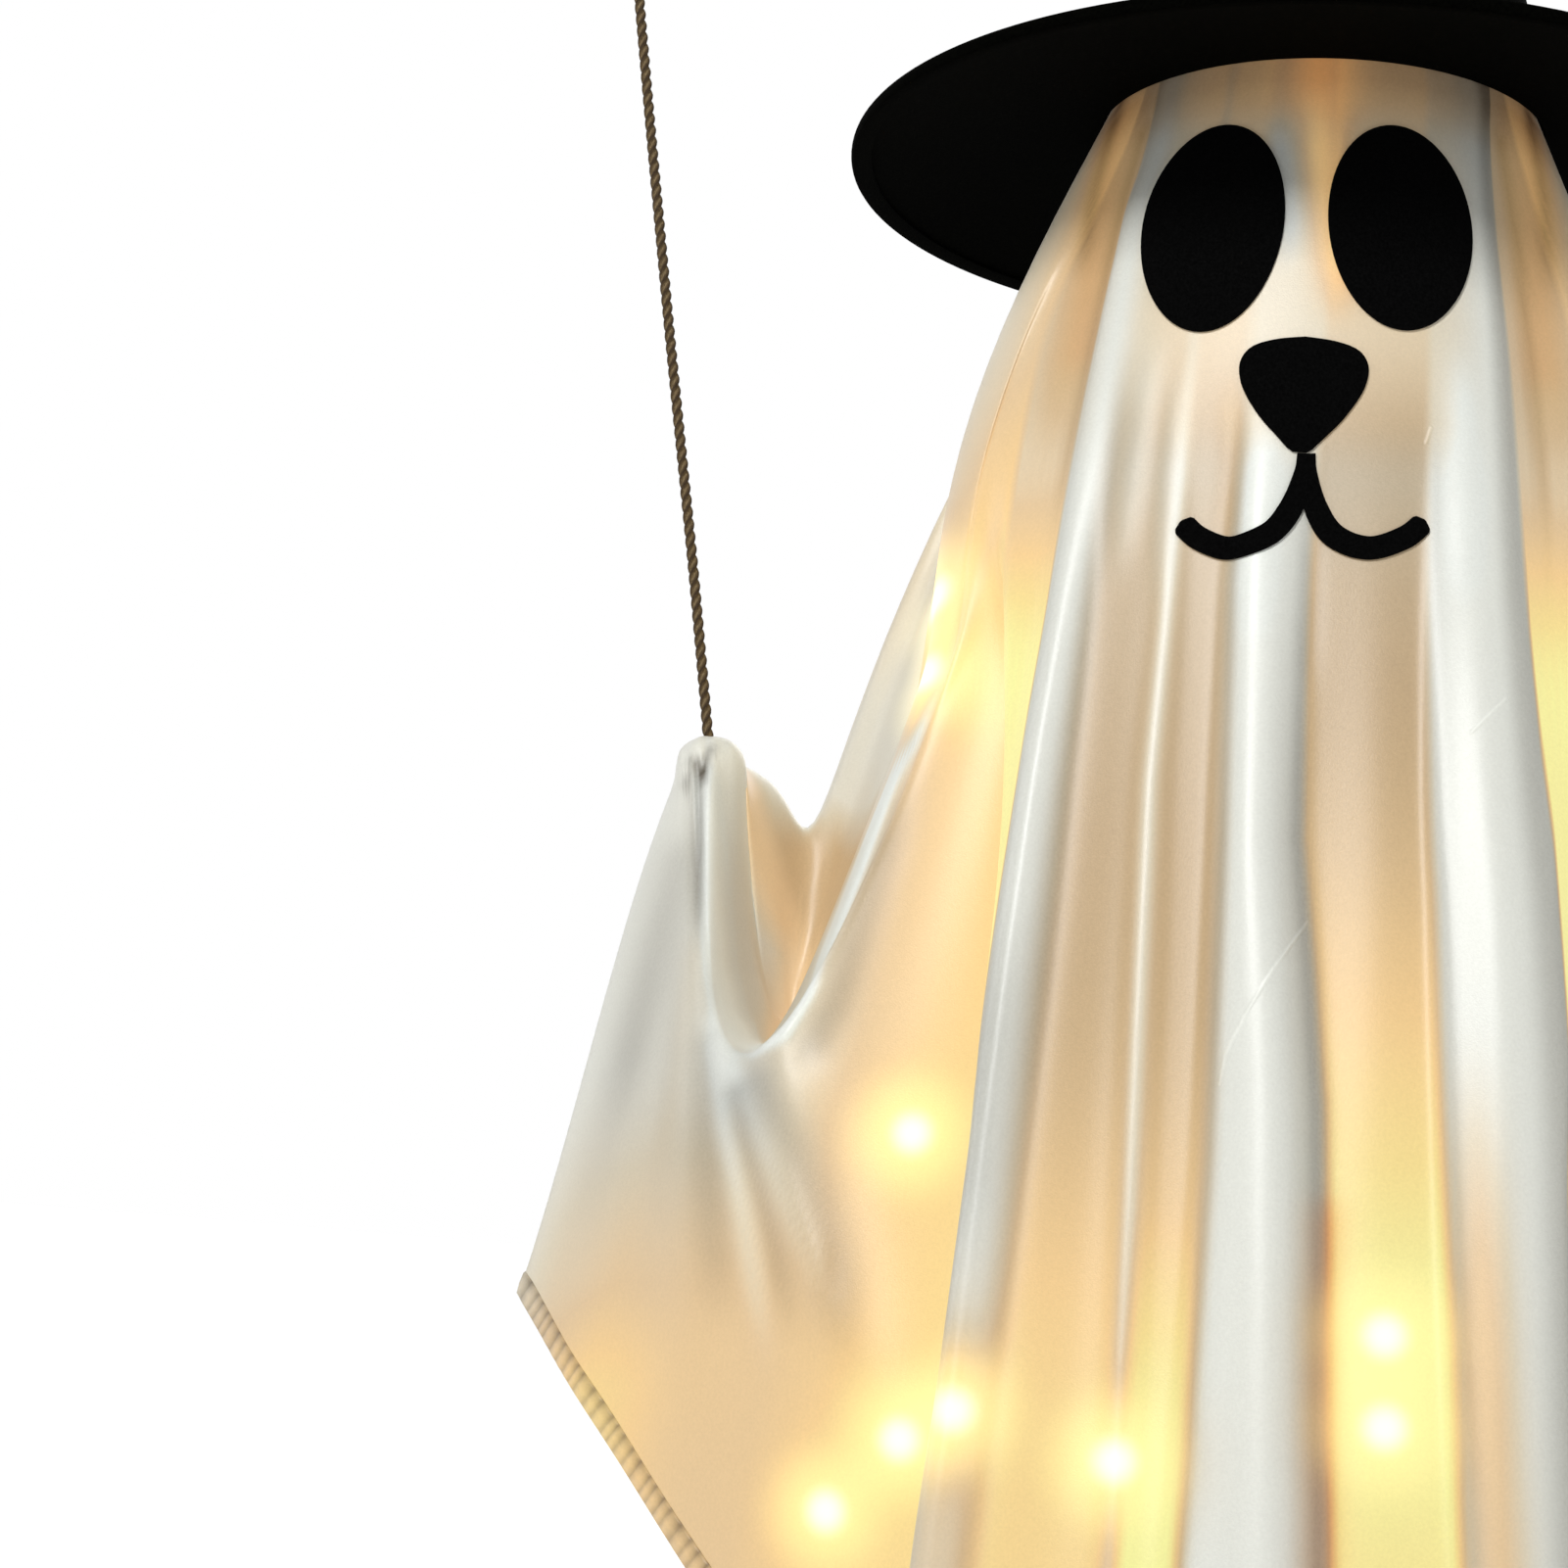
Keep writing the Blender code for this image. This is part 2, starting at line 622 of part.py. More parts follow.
def make_band():
    """The ribbon round the foot of the crown, a little off the cone at its top."""
    foot = CROWN_FOOT + FIT
    slope = CROWN_BASE_RADIUS * 0.06 / (CROWN_HEIGHT * 0.10)
    low = CROWN_BASE_RADIUS + FIT * 2
    high = low - slope * BAND_HEIGHT
    middle_in = CROWN_BASE_RADIUS * 0.966 + FIT * 2
    middle = foot + CROWN_HEIGHT * 0.05
    profile = [(high + BAND_THICKNESS, foot + BAND_HEIGHT), (middle_in + BAND_THICKNESS, middle),
               (low + BAND_THICKNESS, foot), (low, foot), (middle_in, middle), (high, foot + BAND_HEIGHT)]
    return turned("hat_band", profile, RIBBON, 24)


make_brim()
make_binding()
make_crown()
make_band()


# The head: a blown globe with an open neck, seated on the hub of the wire stand
NECK_POLAR = math.asin(NECK_RADIUS / HEAD_RADIUS)
NECK_TOP = HEAD_HEIGHT - HEAD_RADIUS * math.cos(NECK_POLAR)
NECK_FOOT = NECK_TOP - NECK_LENGTH
HUB_TOP = NECK_FOOT - FIT
HUB_FOOT = HUB_TOP - HUB_FLANGE
GLOBE_STEPS = 8


def make_globe():
    outer = []
    inner = []
    hollow = HEAD_RADIUS - HEAD_WALL
    opening = math.asin((NECK_RADIUS - HEAD_WALL) / hollow)
    for k in range(GLOBE_STEPS + 1):
        polar = (PI - NECK_POLAR) * k / GLOBE_STEPS
        outer.append((HEAD_RADIUS * math.sin(polar), HEAD_HEIGHT + HEAD_RADIUS * math.cos(polar)))
        polar = (PI - opening) * k / GLOBE_STEPS
        inner.append((hollow * math.sin(polar), HEAD_HEIGHT + hollow * math.cos(polar)))
    outer.append((NECK_RADIUS, NECK_FOOT))
    inner.append((NECK_RADIUS - HEAD_WALL, NECK_FOOT))
    return turned("head_globe", outer + inner[::-1], GLOBE, 24)


def make_hub():
    spigot = NECK_RADIUS - HEAD_WALL - FIT * 2
    profile = [(HUB_BORE, HUB_TOP + NECK_LENGTH * 0.8), (spigot, HUB_TOP + NECK_LENGTH * 0.8),
               (spigot, HUB_TOP), (HUB_RADIUS, HUB_TOP), (HUB_RADIUS, HUB_FOOT), (HUB_BORE, HUB_FOOT)]
    return turned("neck_hub", profile, HUB_PLASTIC, 24)


make_globe()
make_hub()

# The stand: a flat hoop on the floor, bent wire legs and two wire rings inside them
LEG_FOOT = HOOP_HEIGHT + FIT + LEG_RADIUS
LEG_HEAD = HUB_FOOT - FIT - LEG_RADIUS


def leg_radius(height):
    """Distance of a leg's middle from the axis: nearly straight, with a slight bow outwards."""
    share = (height - LEG_FOOT) / (LEG_HEAD - LEG_FOOT)
    return blend(STAND_RADIUS, STAND_TOP_RADIUS, share) + 0.004 * math.sin(PI * share)


def make_stand():
    low = 0.0
    high = HOOP_HEIGHT
    inner = STAND_RADIUS - HOOP_WIDTH / 2
    outer = STAND_RADIUS + HOOP_WIDTH / 2
    turned("base_hoop", [(inner, high), (outer, high), (outer, low), (inner, low)], STEEL, 36)
    for k in range(LEG_COUNT):
        angle = 2 * PI * (k + 0.5) / LEG_COUNT
        line = []
        for step in range(8):
            height = blend(LEG_FOOT - LEG_RADIUS + 0.0002, LEG_HEAD + LEG_RADIUS - 0.0002, step / 7)
            reach = leg_radius(height)
            line.append(Vector((reach * math.sin(angle), -reach * math.cos(angle), height)))
        tube("leg_%d" % (k + 1), line, LEG_RADIUS, STEEL, roundness=1)
    for name, height in (("middle_ring", MIDDLE_RING_HEIGHT), ("upper_ring", UPPER_RING_HEIGHT)):
        lean = 1.0 + (leg_radius(height) - leg_radius(height + 0.01)) * 3
        reach = leg_radius(height) - (LEG_RADIUS + RING_WIRE_RADIUS) * lean - FIT
        profile = []
        for k in range(5):
            angle = -2 * PI * k / 5
            profile.append((reach + RING_WIRE_RADIUS * math.cos(angle), height + RING_WIRE_RADIUS * math.sin(angle)))
        turned(name, profile, STEEL, RING_STEPS)


make_stand()


# The lamp string: one lead from the case, round the stand, out into the left sleeve and up into the head.
# Each stop is azimuth in degrees from the front towards the left, distance from the axis, height, and a lamp.
LEAD_STOPS = [(158, 0.150, 0.140, 0), (135, 0.163, 0.118, 1), (104, 0.168, 0.125, 0), (71, 0.169, 0.137, 1),
              (64, 0.148, 0.166, 1), (52, 0.145, 0.180, 1), (36, 0.152, 0.168, 0), (18, 0.156, 0.169, 1),
              (2, 0.160, 0.160, 0), (-19, 0.148, 0.188, 1), (-22, 0.140, 0.221, 1), (-60, 0.142, 0.226, 0),
              (-95, 0.145, 0.215, 1), (-135, 0.140, 0.236, 0), (180, 0.140, 0.262, 1), (135, 0.131, 0.262, 0),
              (98, 0.138, 0.272, 0), (66, 0.146, 0.283, 1), (30, 0.122, 0.312, 0), (-15, 0.115, 0.340, 1),
              (-60, 0.114, 0.352, 0), (-100, 0.118, 0.372, 1), (-150, 0.100, 0.400, 0), (165, 0.094, 0.425, 1),
              (120, 0.112, 0.452, 0), (92, 0.138, 0.469, 1), (88, 0.131, 0.502, 1), (70, 0.105, 0.538, 0),
              (30, 0.066, 0.566, 0), (-40, 0.030, 0.580, 0), (-90, 0.010, 0.604, 0), (-60, 0.008, 0.640, 0),
              (10, 0.016, 0.672, 0), (60, 0.012, 0.700, 1)]


def lead_stop(azimuth, reach, height):
    angle = math.radians(azimuth)
    return Vector((-reach * math.sin(angle), -reach * math.cos(angle), height))


def make_lamp(name, place, ahead):
    """A pill-shaped lamp that lies on the lead's outer side."""
    outward = Vector((place.x, place.y, 0.0)).normalized()
    outward = (outward - ahead * outward.dot(ahead)).normalized()
    middle = place + outward * (LEAD_RADIUS + LAMP_RADIUS * LAMP_SIDE + FIT)
    shape = bmesh.new()
    bmesh.ops.create_uvsphere(shape, u_segments=6, v_segments=3, radius=LAMP_RADIUS)
    for corner in shape.verts:
        corner.co.z *= LAMP_LENGTH / LAMP_RADIUS
    turn = Vector((0, 0, 1)).rotation_difference(ahead).to_matrix().to_4x4()
    bmesh.ops.transform(shape, matrix=Matrix.Translation(middle) @ turn, verts=shape.verts)
    part = bmesh_object(name, shape, LAMP)
    part.data.shade_smooth()


def make_lamp_string():
    stops = [lead_stop(azimuth, reach, height) for azimuth, reach, height, _ in LEAD_STOPS]
    stops.insert(0, LEAD_EXIT)
    route = smooth_route(stops, 2)
    tube("lamp_lead", route, LEAD_RADIUS, LEAD, roundness=1)
    number = 0
    for k, (_, _, _, lamp) in enumerate(LEAD_STOPS):
        if lamp:
            number += 1
            spot = 2 * (k + 1)
            after = route[min(spot + 1, len(route) - 1)]
            make_lamp("lamp_%02d" % number, route[spot], (after - route[spot - 1]).normalized())


# The battery case hangs by a bent clip on the back of the middle ring
RING_REACH = leg_radius(MIDDLE_RING_HEIGHT) - LEG_RADIUS - RING_WIRE_RADIUS - FIT
CELL_PITCH = CELL_RADIUS * 2 + 0.0005
CASE_INNER_WIDTH = CELL_PITCH * CELL_COUNT + SWITCH_BAY + 0.0006
CASE_INNER_HEIGHT = CELL_LENGTH + 0.0040
CASE_INNER_DEPTH = CELL_RADIUS * 2 + 0.0010
CASE_WIDTH = CASE_INNER_WIDTH + 2 * CASE_WALL
CASE_HEIGHT = CASE_INNER_HEIGHT + 2 * CASE_WALL
CASE_DEPTH = CASE_INNER_DEPTH + CASE_WALL
CASE_TOP = MIDDLE_RING_HEIGHT - 0.008
CLIP_THICKNESS = 0.0012
CLIP_WIDTH = 0.016
CASE_BACK = RING_REACH - RING_WIRE_RADIUS - CLIP_THICKNESS - FIT * 4 - LID_THICKNESS
CASE_FRONT = CASE_BACK - CASE_DEPTH
CASE_FOOT = CASE_TOP - CASE_HEIGHT
BAY_MIDDLE = CASE_INNER_WIDTH / 2 - SWITCH_BAY / 2
SLOT_WIDTH = 0.0034
KNOB_LENGTH = 0.0040
SLOT_LENGTH = KNOB_LENGTH + SWITCH_TRAVEL + 0.0012
KNOB_HEIGHT = 0.0030
SLIDE_PLATE = 0.0012
SCREW_RADIUS = 0.0012
SCREW_HEAD_RADIUS = 0.0024
SCREW_LENGTH = 0.0080
BOSS_RADIUS = 0.0034
SCREW_HEIGHT = CASE_TOP - 0.018
LEAD_EXIT = Vector((-CASE_WIDTH / 2 - FIT - LEAD_RADIUS, (CASE_FRONT + CASE_BACK) / 2, CASE_FOOT + 0.012))


def make_case():
    half = CASE_WIDTH / 2
    case = box("battery_case", (-half, CASE_FRONT, CASE_FOOT), (half, CASE_BACK, CASE_TOP), CASE_PLASTIC)
    bevel(case, 0.0012)
    hollow_half = CASE_INNER_WIDTH / 2
    hollow = box("case_hollow", (-hollow_half, CASE_FRONT + CASE_WALL, CASE_FOOT + CASE_WALL),
                 (hollow_half, CASE_BACK + CASE_WALL, CASE_TOP - CASE_WALL), CASE_PLASTIC, cutters)
    cut(case, hollow)
    slot = box("switch_slot", (BAY_MIDDLE - SLOT_LENGTH / 2, slot_middle() - SLOT_WIDTH / 2, CASE_FOOT - CASE_WALL),
               (BAY_MIDDLE + SLOT_LENGTH / 2, slot_middle() + SLOT_WIDTH / 2, CASE_FOOT + 2 * CASE_WALL),
               CASE_PLASTIC, cutters)
    cut(case, slot)
    boss_length = CASE_INNER_DEPTH - FIT + CASE_WALL / 2
    boss = rod("screw_boss", (BAY_MIDDLE, CASE_FRONT + CASE_WALL / 2, SCREW_HEIGHT), (0, 1, 0), BOSS_RADIUS,
               boss_length, CASE_PLASTIC, 16, cutters)
    cut(case, boss, "UNION")
    bore = rod("screw_bore", (BAY_MIDDLE, CASE_BACK - SCREW_LENGTH - 0.001, SCREW_HEIGHT), (0, 1, 0),
               SCREW_RADIUS + FIT, SCREW_LENGTH + 0.004, CASE_PLASTIC, 12, cutters)
    cut(case, bore)


def slot_middle():
    return (CASE_FRONT + CASE_BACK) / 2


def make_lid():
    half = CASE_WIDTH / 2
    low = CASE_BACK + FIT
    lid = box("battery_lid", (-half, low, CASE_FOOT), (half, low + LID_THICKNESS, CASE_TOP), CASE_PLASTIC)
    bevel(lid, 0.0005, 1)
    hole = rod("lid_hole", (BAY_MIDDLE, low - 0.001, SCREW_HEIGHT), (0, 1, 0), SCREW_RADIUS + FIT,
               LID_THICKNESS + 0.002, CASE_PLASTIC, 12, cutters)
    cut(lid, hole)
    shank = rod("lid_screw", (BAY_MIDDLE, low + LID_THICKNESS + FIT - SCREW_LENGTH, SCREW_HEIGHT), (0, 1, 0),
                SCREW_RADIUS, SCREW_LENGTH + 0.0004, STEEL, 12)
    head = rod("screw_head", (BAY_MIDDLE, low + LID_THICKNESS + FIT, SCREW_HEIGHT), (0, 1, 0),
               SCREW_HEAD_RADIUS, 0.0007, STEEL, 16, cutters)
    cut(shank, head, "UNION")


def make_cells():
    left = -CASE_INNER_WIDTH / 2 + CELL_PITCH / 2 + 0.0002
    foot = CASE_FOOT + CASE_WALL + (CASE_INNER_HEIGHT - CELL_LENGTH - 0.0016) / 2
    middle = CASE_FRONT + CASE_WALL + CELL_RADIUS + FIT
    for k in range(CELL_COUNT):
        x = left + k * CELL_PITCH
        up = 1 if k % 2 == 0 else -1
        start = foot if up > 0 else foot + CELL_LENGTH
        cell = rod("battery_%d" % (k + 1), (x, middle, start), (0, 0, up), CELL_RADIUS, CELL_LENGTH, CELL, 14)
        cap = rod("cell_cap_%d" % (k + 1), (x, middle, start + up * (CELL_LENGTH - 0.0005)), (0, 0, up), 0.0026,
                  0.0017, CELL, 12, cutters)
        cut(cell, cap, "UNION")


def make_switch():
    """The slider: a plate inside the case and a ribbed knob through its slot."""
    floor = CASE_FOOT + CASE_WALL + FIT
    x = BAY_MIDDLE - SWITCH_TRAVEL / 2
    y = slot_middle()
    half = SLOT_WIDTH / 2 - FIT
    plate = box("switch_slider", (x - KNOB_LENGTH / 2, y - SLOT_WIDTH, floor),
                (x + KNOB_LENGTH / 2, y + SLOT_WIDTH, floor + SLIDE_PLATE), SLIDER)
    knob = box("slider_knob", (x - KNOB_LENGTH / 2, y - half, CASE_FOOT - KNOB_HEIGHT),
               (x + KNOB_LENGTH / 2, y + half, floor + SLIDE_PLATE / 2), SLIDER, cutters)
    cut(plate, knob, "UNION")


def make_clip():
    """A bent steel strip: screwed flat to the case's back edge, over the ring and down behind it."""
    inner = RING_REACH - RING_WIRE_RADIUS - FIT * 2
    outer = RING_REACH + RING_WIRE_RADIUS + FIT * 2
    foot = CASE_TOP + FIT
    top = MIDDLE_RING_HEIGHT + RING_WIRE_RADIUS + FIT
    tail = MIDDLE_RING_HEIGHT - 0.0045
    t = CLIP_THICKNESS
    seat = CASE_FRONT + 0.003
    outline = [(seat, foot), (inner, foot), (inner, top), (outer, top), (outer, tail), (outer + t, tail),
               (outer + t, top + t), (inner - t, top + t), (inner - t, foot + t), (seat, foot + t)]
    curve = bpy.data.curves.new("case_clip", "CURVE")
    curve.dimensions = "2D"
    curve.fill_mode = "BOTH"
    curve.extrude = CLIP_WIDTH / 2
    line = curve.splines.new("POLY")
    line.points.add(len(outline) - 1)
    for spot, (depth, height) in zip(line.points, outline):
        spot.co = (depth, height, 0.0, 1.0)
    line.use_cyclic_u = True
    part = add_object("case_clip", curve, STEEL)
    part.rotation_euler = (PI / 2, 0.0, PI / 2)


make_case()
make_lid()
make_cells()
make_switch()
make_clip()
make_lamp_string()


# Each hand: a bead gathered in the cloth, and the twine that holds it up
TWINE_ROUTE = [(-0.2434, 0.4512), (-0.2496, 0.4800), (-0.2575, 0.5250), (-0.2668, 0.5750), (-0.2757, 0.6230),
               (-0.2850, 0.6750), (-0.2930, 0.7200), (-0.3003, 0.7620), (-0.3073, 0.8030)]
LOOP_WIDTH = 0.017


def make_hand(side, name):
    middle = Vector((-side * HAND.x, HAND.y, HAND.z))
    shape = bmesh.new()
    bmesh.ops.create_uvsphere(shape, u_segments=10, v_segments=6, radius=BEAD_RADIUS)
    bmesh.ops.translate(shape, vec=middle, verts=shape.verts)
    bead = bmesh_object("hand_bead_" + name, shape, WOOD)
    bead.data.shade_smooth()
    route = [Vector((-side * x, 0.0, z)) for x, z in TWINE_ROUTE]
    start = middle + (route[1] - middle).normalized() * (HAND_REACH + CLOTH / 2 + FIT)
    line = [start] + route[1:]
    tube("twine_" + name, line, TWINE_RADIUS, JUTE)
    ahead = (line[-1] - line[-2]).normalized()
    knot_middle = line[-1] + ahead * (KNOT_RADIUS * 0.98 + FIT)
    shape = bmesh.new()
    bmesh.ops.create_uvsphere(shape, u_segments=10, v_segments=6, radius=KNOT_RADIUS)
    bmesh.ops.translate(shape, vec=knot_middle, verts=shape.verts)
    knot = bmesh_object("knot_" + name, shape, JUTE)
    knot.data.shade_smooth()
    loop_foot = knot_middle + ahead * (KNOT_RADIUS + TWINE_RADIUS + FIT)
    loop = []
    for k in range(12):
        angle = 2 * PI * k / 12
        rise = LOOP_LENGTH * (1 - math.cos(angle)) / 2
        width = LOOP_WIDTH / 2 * math.sin(angle) * (0.75 + 0.25 * rise / LOOP_LENGTH)
        loop.append(loop_foot + ahead * rise + Vector((0.0, width, 0.0)))
    tube("hanging_loop_" + name, loop, TWINE_RADIUS, JUTE, closed=True)


make_hand(-1, "left")
make_hand(1, "right")
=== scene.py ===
# %% [markdown]
# A ghost dog in a felt hat. The real thing is one round cut of white satin, draped over a
# globe lamp on a wire stand, with a felt face, a wide black hat and two hands held up by twine.
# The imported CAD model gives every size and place. This lesson dresses it: each soft piece is
# modelled again as what it is, and each hard piece gets its finish.

# %% The fixed frame
import json
import math

import bmesh
import bpy
import numpy as np
from mathutils import Matrix, Vector


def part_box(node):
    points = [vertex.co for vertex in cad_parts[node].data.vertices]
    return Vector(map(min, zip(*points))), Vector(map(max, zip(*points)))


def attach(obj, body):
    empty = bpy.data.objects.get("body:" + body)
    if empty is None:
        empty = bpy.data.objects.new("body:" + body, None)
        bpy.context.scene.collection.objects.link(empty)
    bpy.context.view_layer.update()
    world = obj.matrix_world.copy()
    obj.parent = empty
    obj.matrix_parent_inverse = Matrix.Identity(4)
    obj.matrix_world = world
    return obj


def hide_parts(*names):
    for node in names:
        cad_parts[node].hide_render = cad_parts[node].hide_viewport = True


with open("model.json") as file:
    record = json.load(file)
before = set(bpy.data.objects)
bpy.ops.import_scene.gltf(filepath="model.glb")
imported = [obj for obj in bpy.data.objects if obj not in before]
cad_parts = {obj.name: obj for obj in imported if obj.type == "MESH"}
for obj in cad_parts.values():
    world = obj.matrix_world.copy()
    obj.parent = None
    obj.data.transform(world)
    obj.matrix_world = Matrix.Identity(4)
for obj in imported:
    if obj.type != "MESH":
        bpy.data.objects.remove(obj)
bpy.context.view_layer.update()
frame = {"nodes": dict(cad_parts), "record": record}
nodes = frame["nodes"]
PI = math.pi

# %% [markdown]
# The camera comes first. It stands low in front of the figure and looks up a little. It is turned
# to the left, so that the figure stands right of the picture's middle, and tilted by a few degrees.
# The three angles and the lens were found by fitting the hat, the face and the hand to the picture.

# %% Camera
CAMERA_PLACE = Vector((0.0, -1.25, 0.2373))
YAW, PITCH, ROLL = 0.1662, 0.1506, 0.0799
IMAGE_SIDE = 1601
FOCAL_PIXELS = 3079.3
SENSOR = 36.0


def photo_camera():
    ahead = Vector((-math.sin(YAW) * math.cos(PITCH), math.cos(YAW) * math.cos(PITCH), math.sin(PITCH)))
    level = ahead.cross(Vector((0, 0, 1))).normalized()
    above = level.cross(ahead)
    right = level * math.cos(ROLL) + above * math.sin(ROLL)
    up = above * math.cos(ROLL) - level * math.sin(ROLL)
    bpy.ops.object.camera_add()
    camera = bpy.context.object
    camera.matrix_world = Matrix.Translation(CAMERA_PLACE) @ Matrix((right, up, -ahead)).transposed().to_4x4()
    camera.data.sensor_width = SENSOR
    camera.data.lens = SENSOR * FOCAL_PIXELS / IMAGE_SIDE
    bpy.context.scene.camera = camera


photo_camera()
print("lens, mm:", round(bpy.context.scene.camera.data.lens, 1))

# %% [markdown]
# A few helpers that every piece uses: a clean selection, curves through points, and a way to
# hand a finished piece to its body, its CAD node and its finish.


# %% Helpers
def deselect():
    bpy.ops.object.select_all(action="DESELECT")


def pick(piece):
    deselect()
    piece.select_set(True)
    bpy.context.view_layer.objects.active = piece


def mix(a, b, t):
    return a + (b - a) * t


def ease(t):
    t = min(max(t, 0.0), 1.0)
    return t * t * (3 - 2 * t)


def bump(t, middle, width):
    return math.exp(-((t - middle) / width) ** 2)


def step_up(value, stops):
    """The level between (place, level) stops."""
    places, levels = zip(*stops)
    return float(np.interp(value, places, levels))


def hermite(start, leave, end, arrive, t):
    return (start * (2 * t**3 - 3 * t**2 + 1) + leave * (t**3 - 2 * t**2 + t)
            + end * (3 * t**2 - 2 * t**3) + arrive * (t**3 - t**2))


def route_point(points, share):
    spans = len(points) - 1
    i = min(int(share * spans), spans - 1)
    before = points[max(i - 1, 0)]
    after = points[min(i + 2, spans)]
    leave = (points[i + 1] - before) * 0.5
    arrive = (after - points[i]) * 0.5
    return hermite(points[i], leave, points[i + 1], arrive, share * spans - i)


def bezier(points, t):
    while len(points) > 1:
        points = [mix(a, b, t) for a, b in zip(points, points[1:])]
    return points[0]


def even_route(points, gap):
    """The smooth curve through the points, at even steps of about that gap."""
    fine = [route_point(points, k / 400) for k in range(401)]
    along = [0.0]
    for a, b in zip(fine, fine[1:]):
        along.append(along[-1] + (b - a).length)
    count = max(2, round(along[-1] / gap))
    places = np.interp(np.linspace(0, along[-1], count + 1), along, np.arange(401))
    return [mix(fine[int(p)], fine[min(int(p) + 1, 400)], p - int(p)) for p in places]


def route_length(points):
    return sum((b - a).length for a, b in zip(points, points[1:]))


def mesh_piece(name, points, faces):
    data = bpy.data.meshes.new(name)
    data.from_pydata([tuple(p) for p in points], [], faces)
    data.update()
    piece = bpy.data.objects.new(name, data)
    bpy.context.scene.collection.objects.link(piece)
    return piece


def seat(piece, finish, slot, *stands_for, body="root"):
    """Give a finished piece its material, its body, and the CAD nodes that it stands for."""
    piece.data.materials.clear()
    piece.data.materials.append(finish)
    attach(piece, body)
    if stands_for:
        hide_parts(*stands_for)
    return piece


# %% [markdown]
# Every finish is built from the same few nodes: a colour that noise varies a little, and a
# bump that noise or a wave raises. Colours are in Object coordinates, so they stay on the piece
# when it moves.


# %% Material helper
class Finish:
    """A Principled material that is built node by node."""

    def __init__(self, name, colour, roughness, metallic=0.0, **sockets):
        self.material = bpy.data.materials.new(name)
        self.material.use_nodes = True
        self.tree = self.material.node_tree
        self.shader = self.tree.nodes["Principled BSDF"]
        self.shader.inputs["Base Color"].default_value = (*colour, 1.0)
        self.shader.inputs["Roughness"].default_value = roughness
        self.shader.inputs["Metallic"].default_value = metallic
        for socket, value in sockets.items():
            self.shader.inputs[socket.replace("_", " ")].default_value = value
        self.place = self.tree.nodes.new("ShaderNodeTexCoord").outputs["Object"]

    def node(self, kind, inputs=(), **settings):
        made = self.tree.nodes.new(kind)
        for setting, value in settings.items():
            setattr(made, setting, value)
        for key, value in dict(inputs).items():
            if isinstance(value, bpy.types.NodeSocket):
                self.tree.links.new(value, made.inputs[key])
            else:
                made.inputs[key].default_value = value
        return made

    def noise(self, scale, detail=3.0, stretch=None, where=None):
        place = where or self.place
        if stretch:
            place = self.node("ShaderNodeMapping", {"Vector": place, "Scale": stretch}).outputs["Vector"]
        return self.node("ShaderNodeTexNoise", {"Vector": place, "Scale": scale, "Detail": detail}).outputs["Fac"]

    def math(self, operation, a, b):
        return self.node("ShaderNodeMath", {0: a, 1: b}, operation=operation).outputs[0]

    def ramp(self, value, stops):
        made = self.node("ShaderNodeValToRGB", {"Fac": value})
        band = made.color_ramp
        while len(band.elements) < len(stops):
            band.elements.new(0.5)
        for element, (position, colour) in zip(band.elements, stops):
            element.position = position
            element.color = (*colour, 1.0)
        return made.outputs["Color"]

    def colour(self, socket):
        self.tree.links.new(socket, self.shader.inputs["Base Color"])

    def link(self, socket, name):
        self.tree.links.new(socket, self.shader.inputs[name])

    def raise_by(self, height, distance, strength=0.6):
        made = self.node("ShaderNodeBump", {"Height": height, "Distance": distance, "Strength": strength})
        self.tree.links.new(made.outputs["Normal"], self.shader.inputs["Normal"])
        return self.material


# %% [markdown]
# Jute twine is three strands laid round each other. Its cross-section is a three-lobed rosette,
# turned a little from ring to ring, so the grooves between the strands are real geometry. Fine
# fibres and painted shade across each strand come from the material, which follows the rope's own map.

# %% Twine finish
jute = Finish("jute twine", (0.16, 0.10, 0.05), 0.85, Specular_IOR_Level=0.2)
rope_map = jute.node("ShaderNodeUVMap", uv_map="rope").outputs["UV"]
fibres = jute.noise(1.0, 4.0, (14.0, 900.0, 1.0), rope_map)
across_strand = jute.node("ShaderNodeSeparateXYZ", {0: rope_map}).outputs["X"]
# The colour varies across each strand, as painted shade between the strands.
strand_shade = jute.math("PINGPONG", across_strand, 0.5)
tone = jute.math("ADD", jute.math("MULTIPLY", fibres, 0.55), jute.math("MULTIPLY", strand_shade, 0.9))
jute.colour(jute.ramp(tone, [(0.22, (0.022, 0.013, 0.007)), (0.50, (0.085, 0.055, 0.026)),
                             (0.74, (0.26, 0.19, 0.10)), (0.92, (0.42, 0.33, 0.20))]))
JUTE = jute.raise_by(fibres, 0.0004, 0.7)

# %% Rope
TWINE_RADIUS = 0.0024
STRANDS = 3
STRAND_SHARE = 0.464         # radius of one strand, as a share of the rope's
ROPE_POINTS = 18
ROPE_PITCH = 0.0165
RING_GAP = 0.0008


def rosette(radius, turn):
    """Distance from the rope's middle to its surface, in a direction turned from a strand's."""
    strand = radius * STRAND_SHARE
    middle = radius - strand
    off = (turn + PI / STRANDS) % (2 * PI / STRANDS) - PI / STRANDS
    return middle * math.cos(off) + math.sqrt(max(strand**2 - (middle * math.sin(off))**2, 0.0))


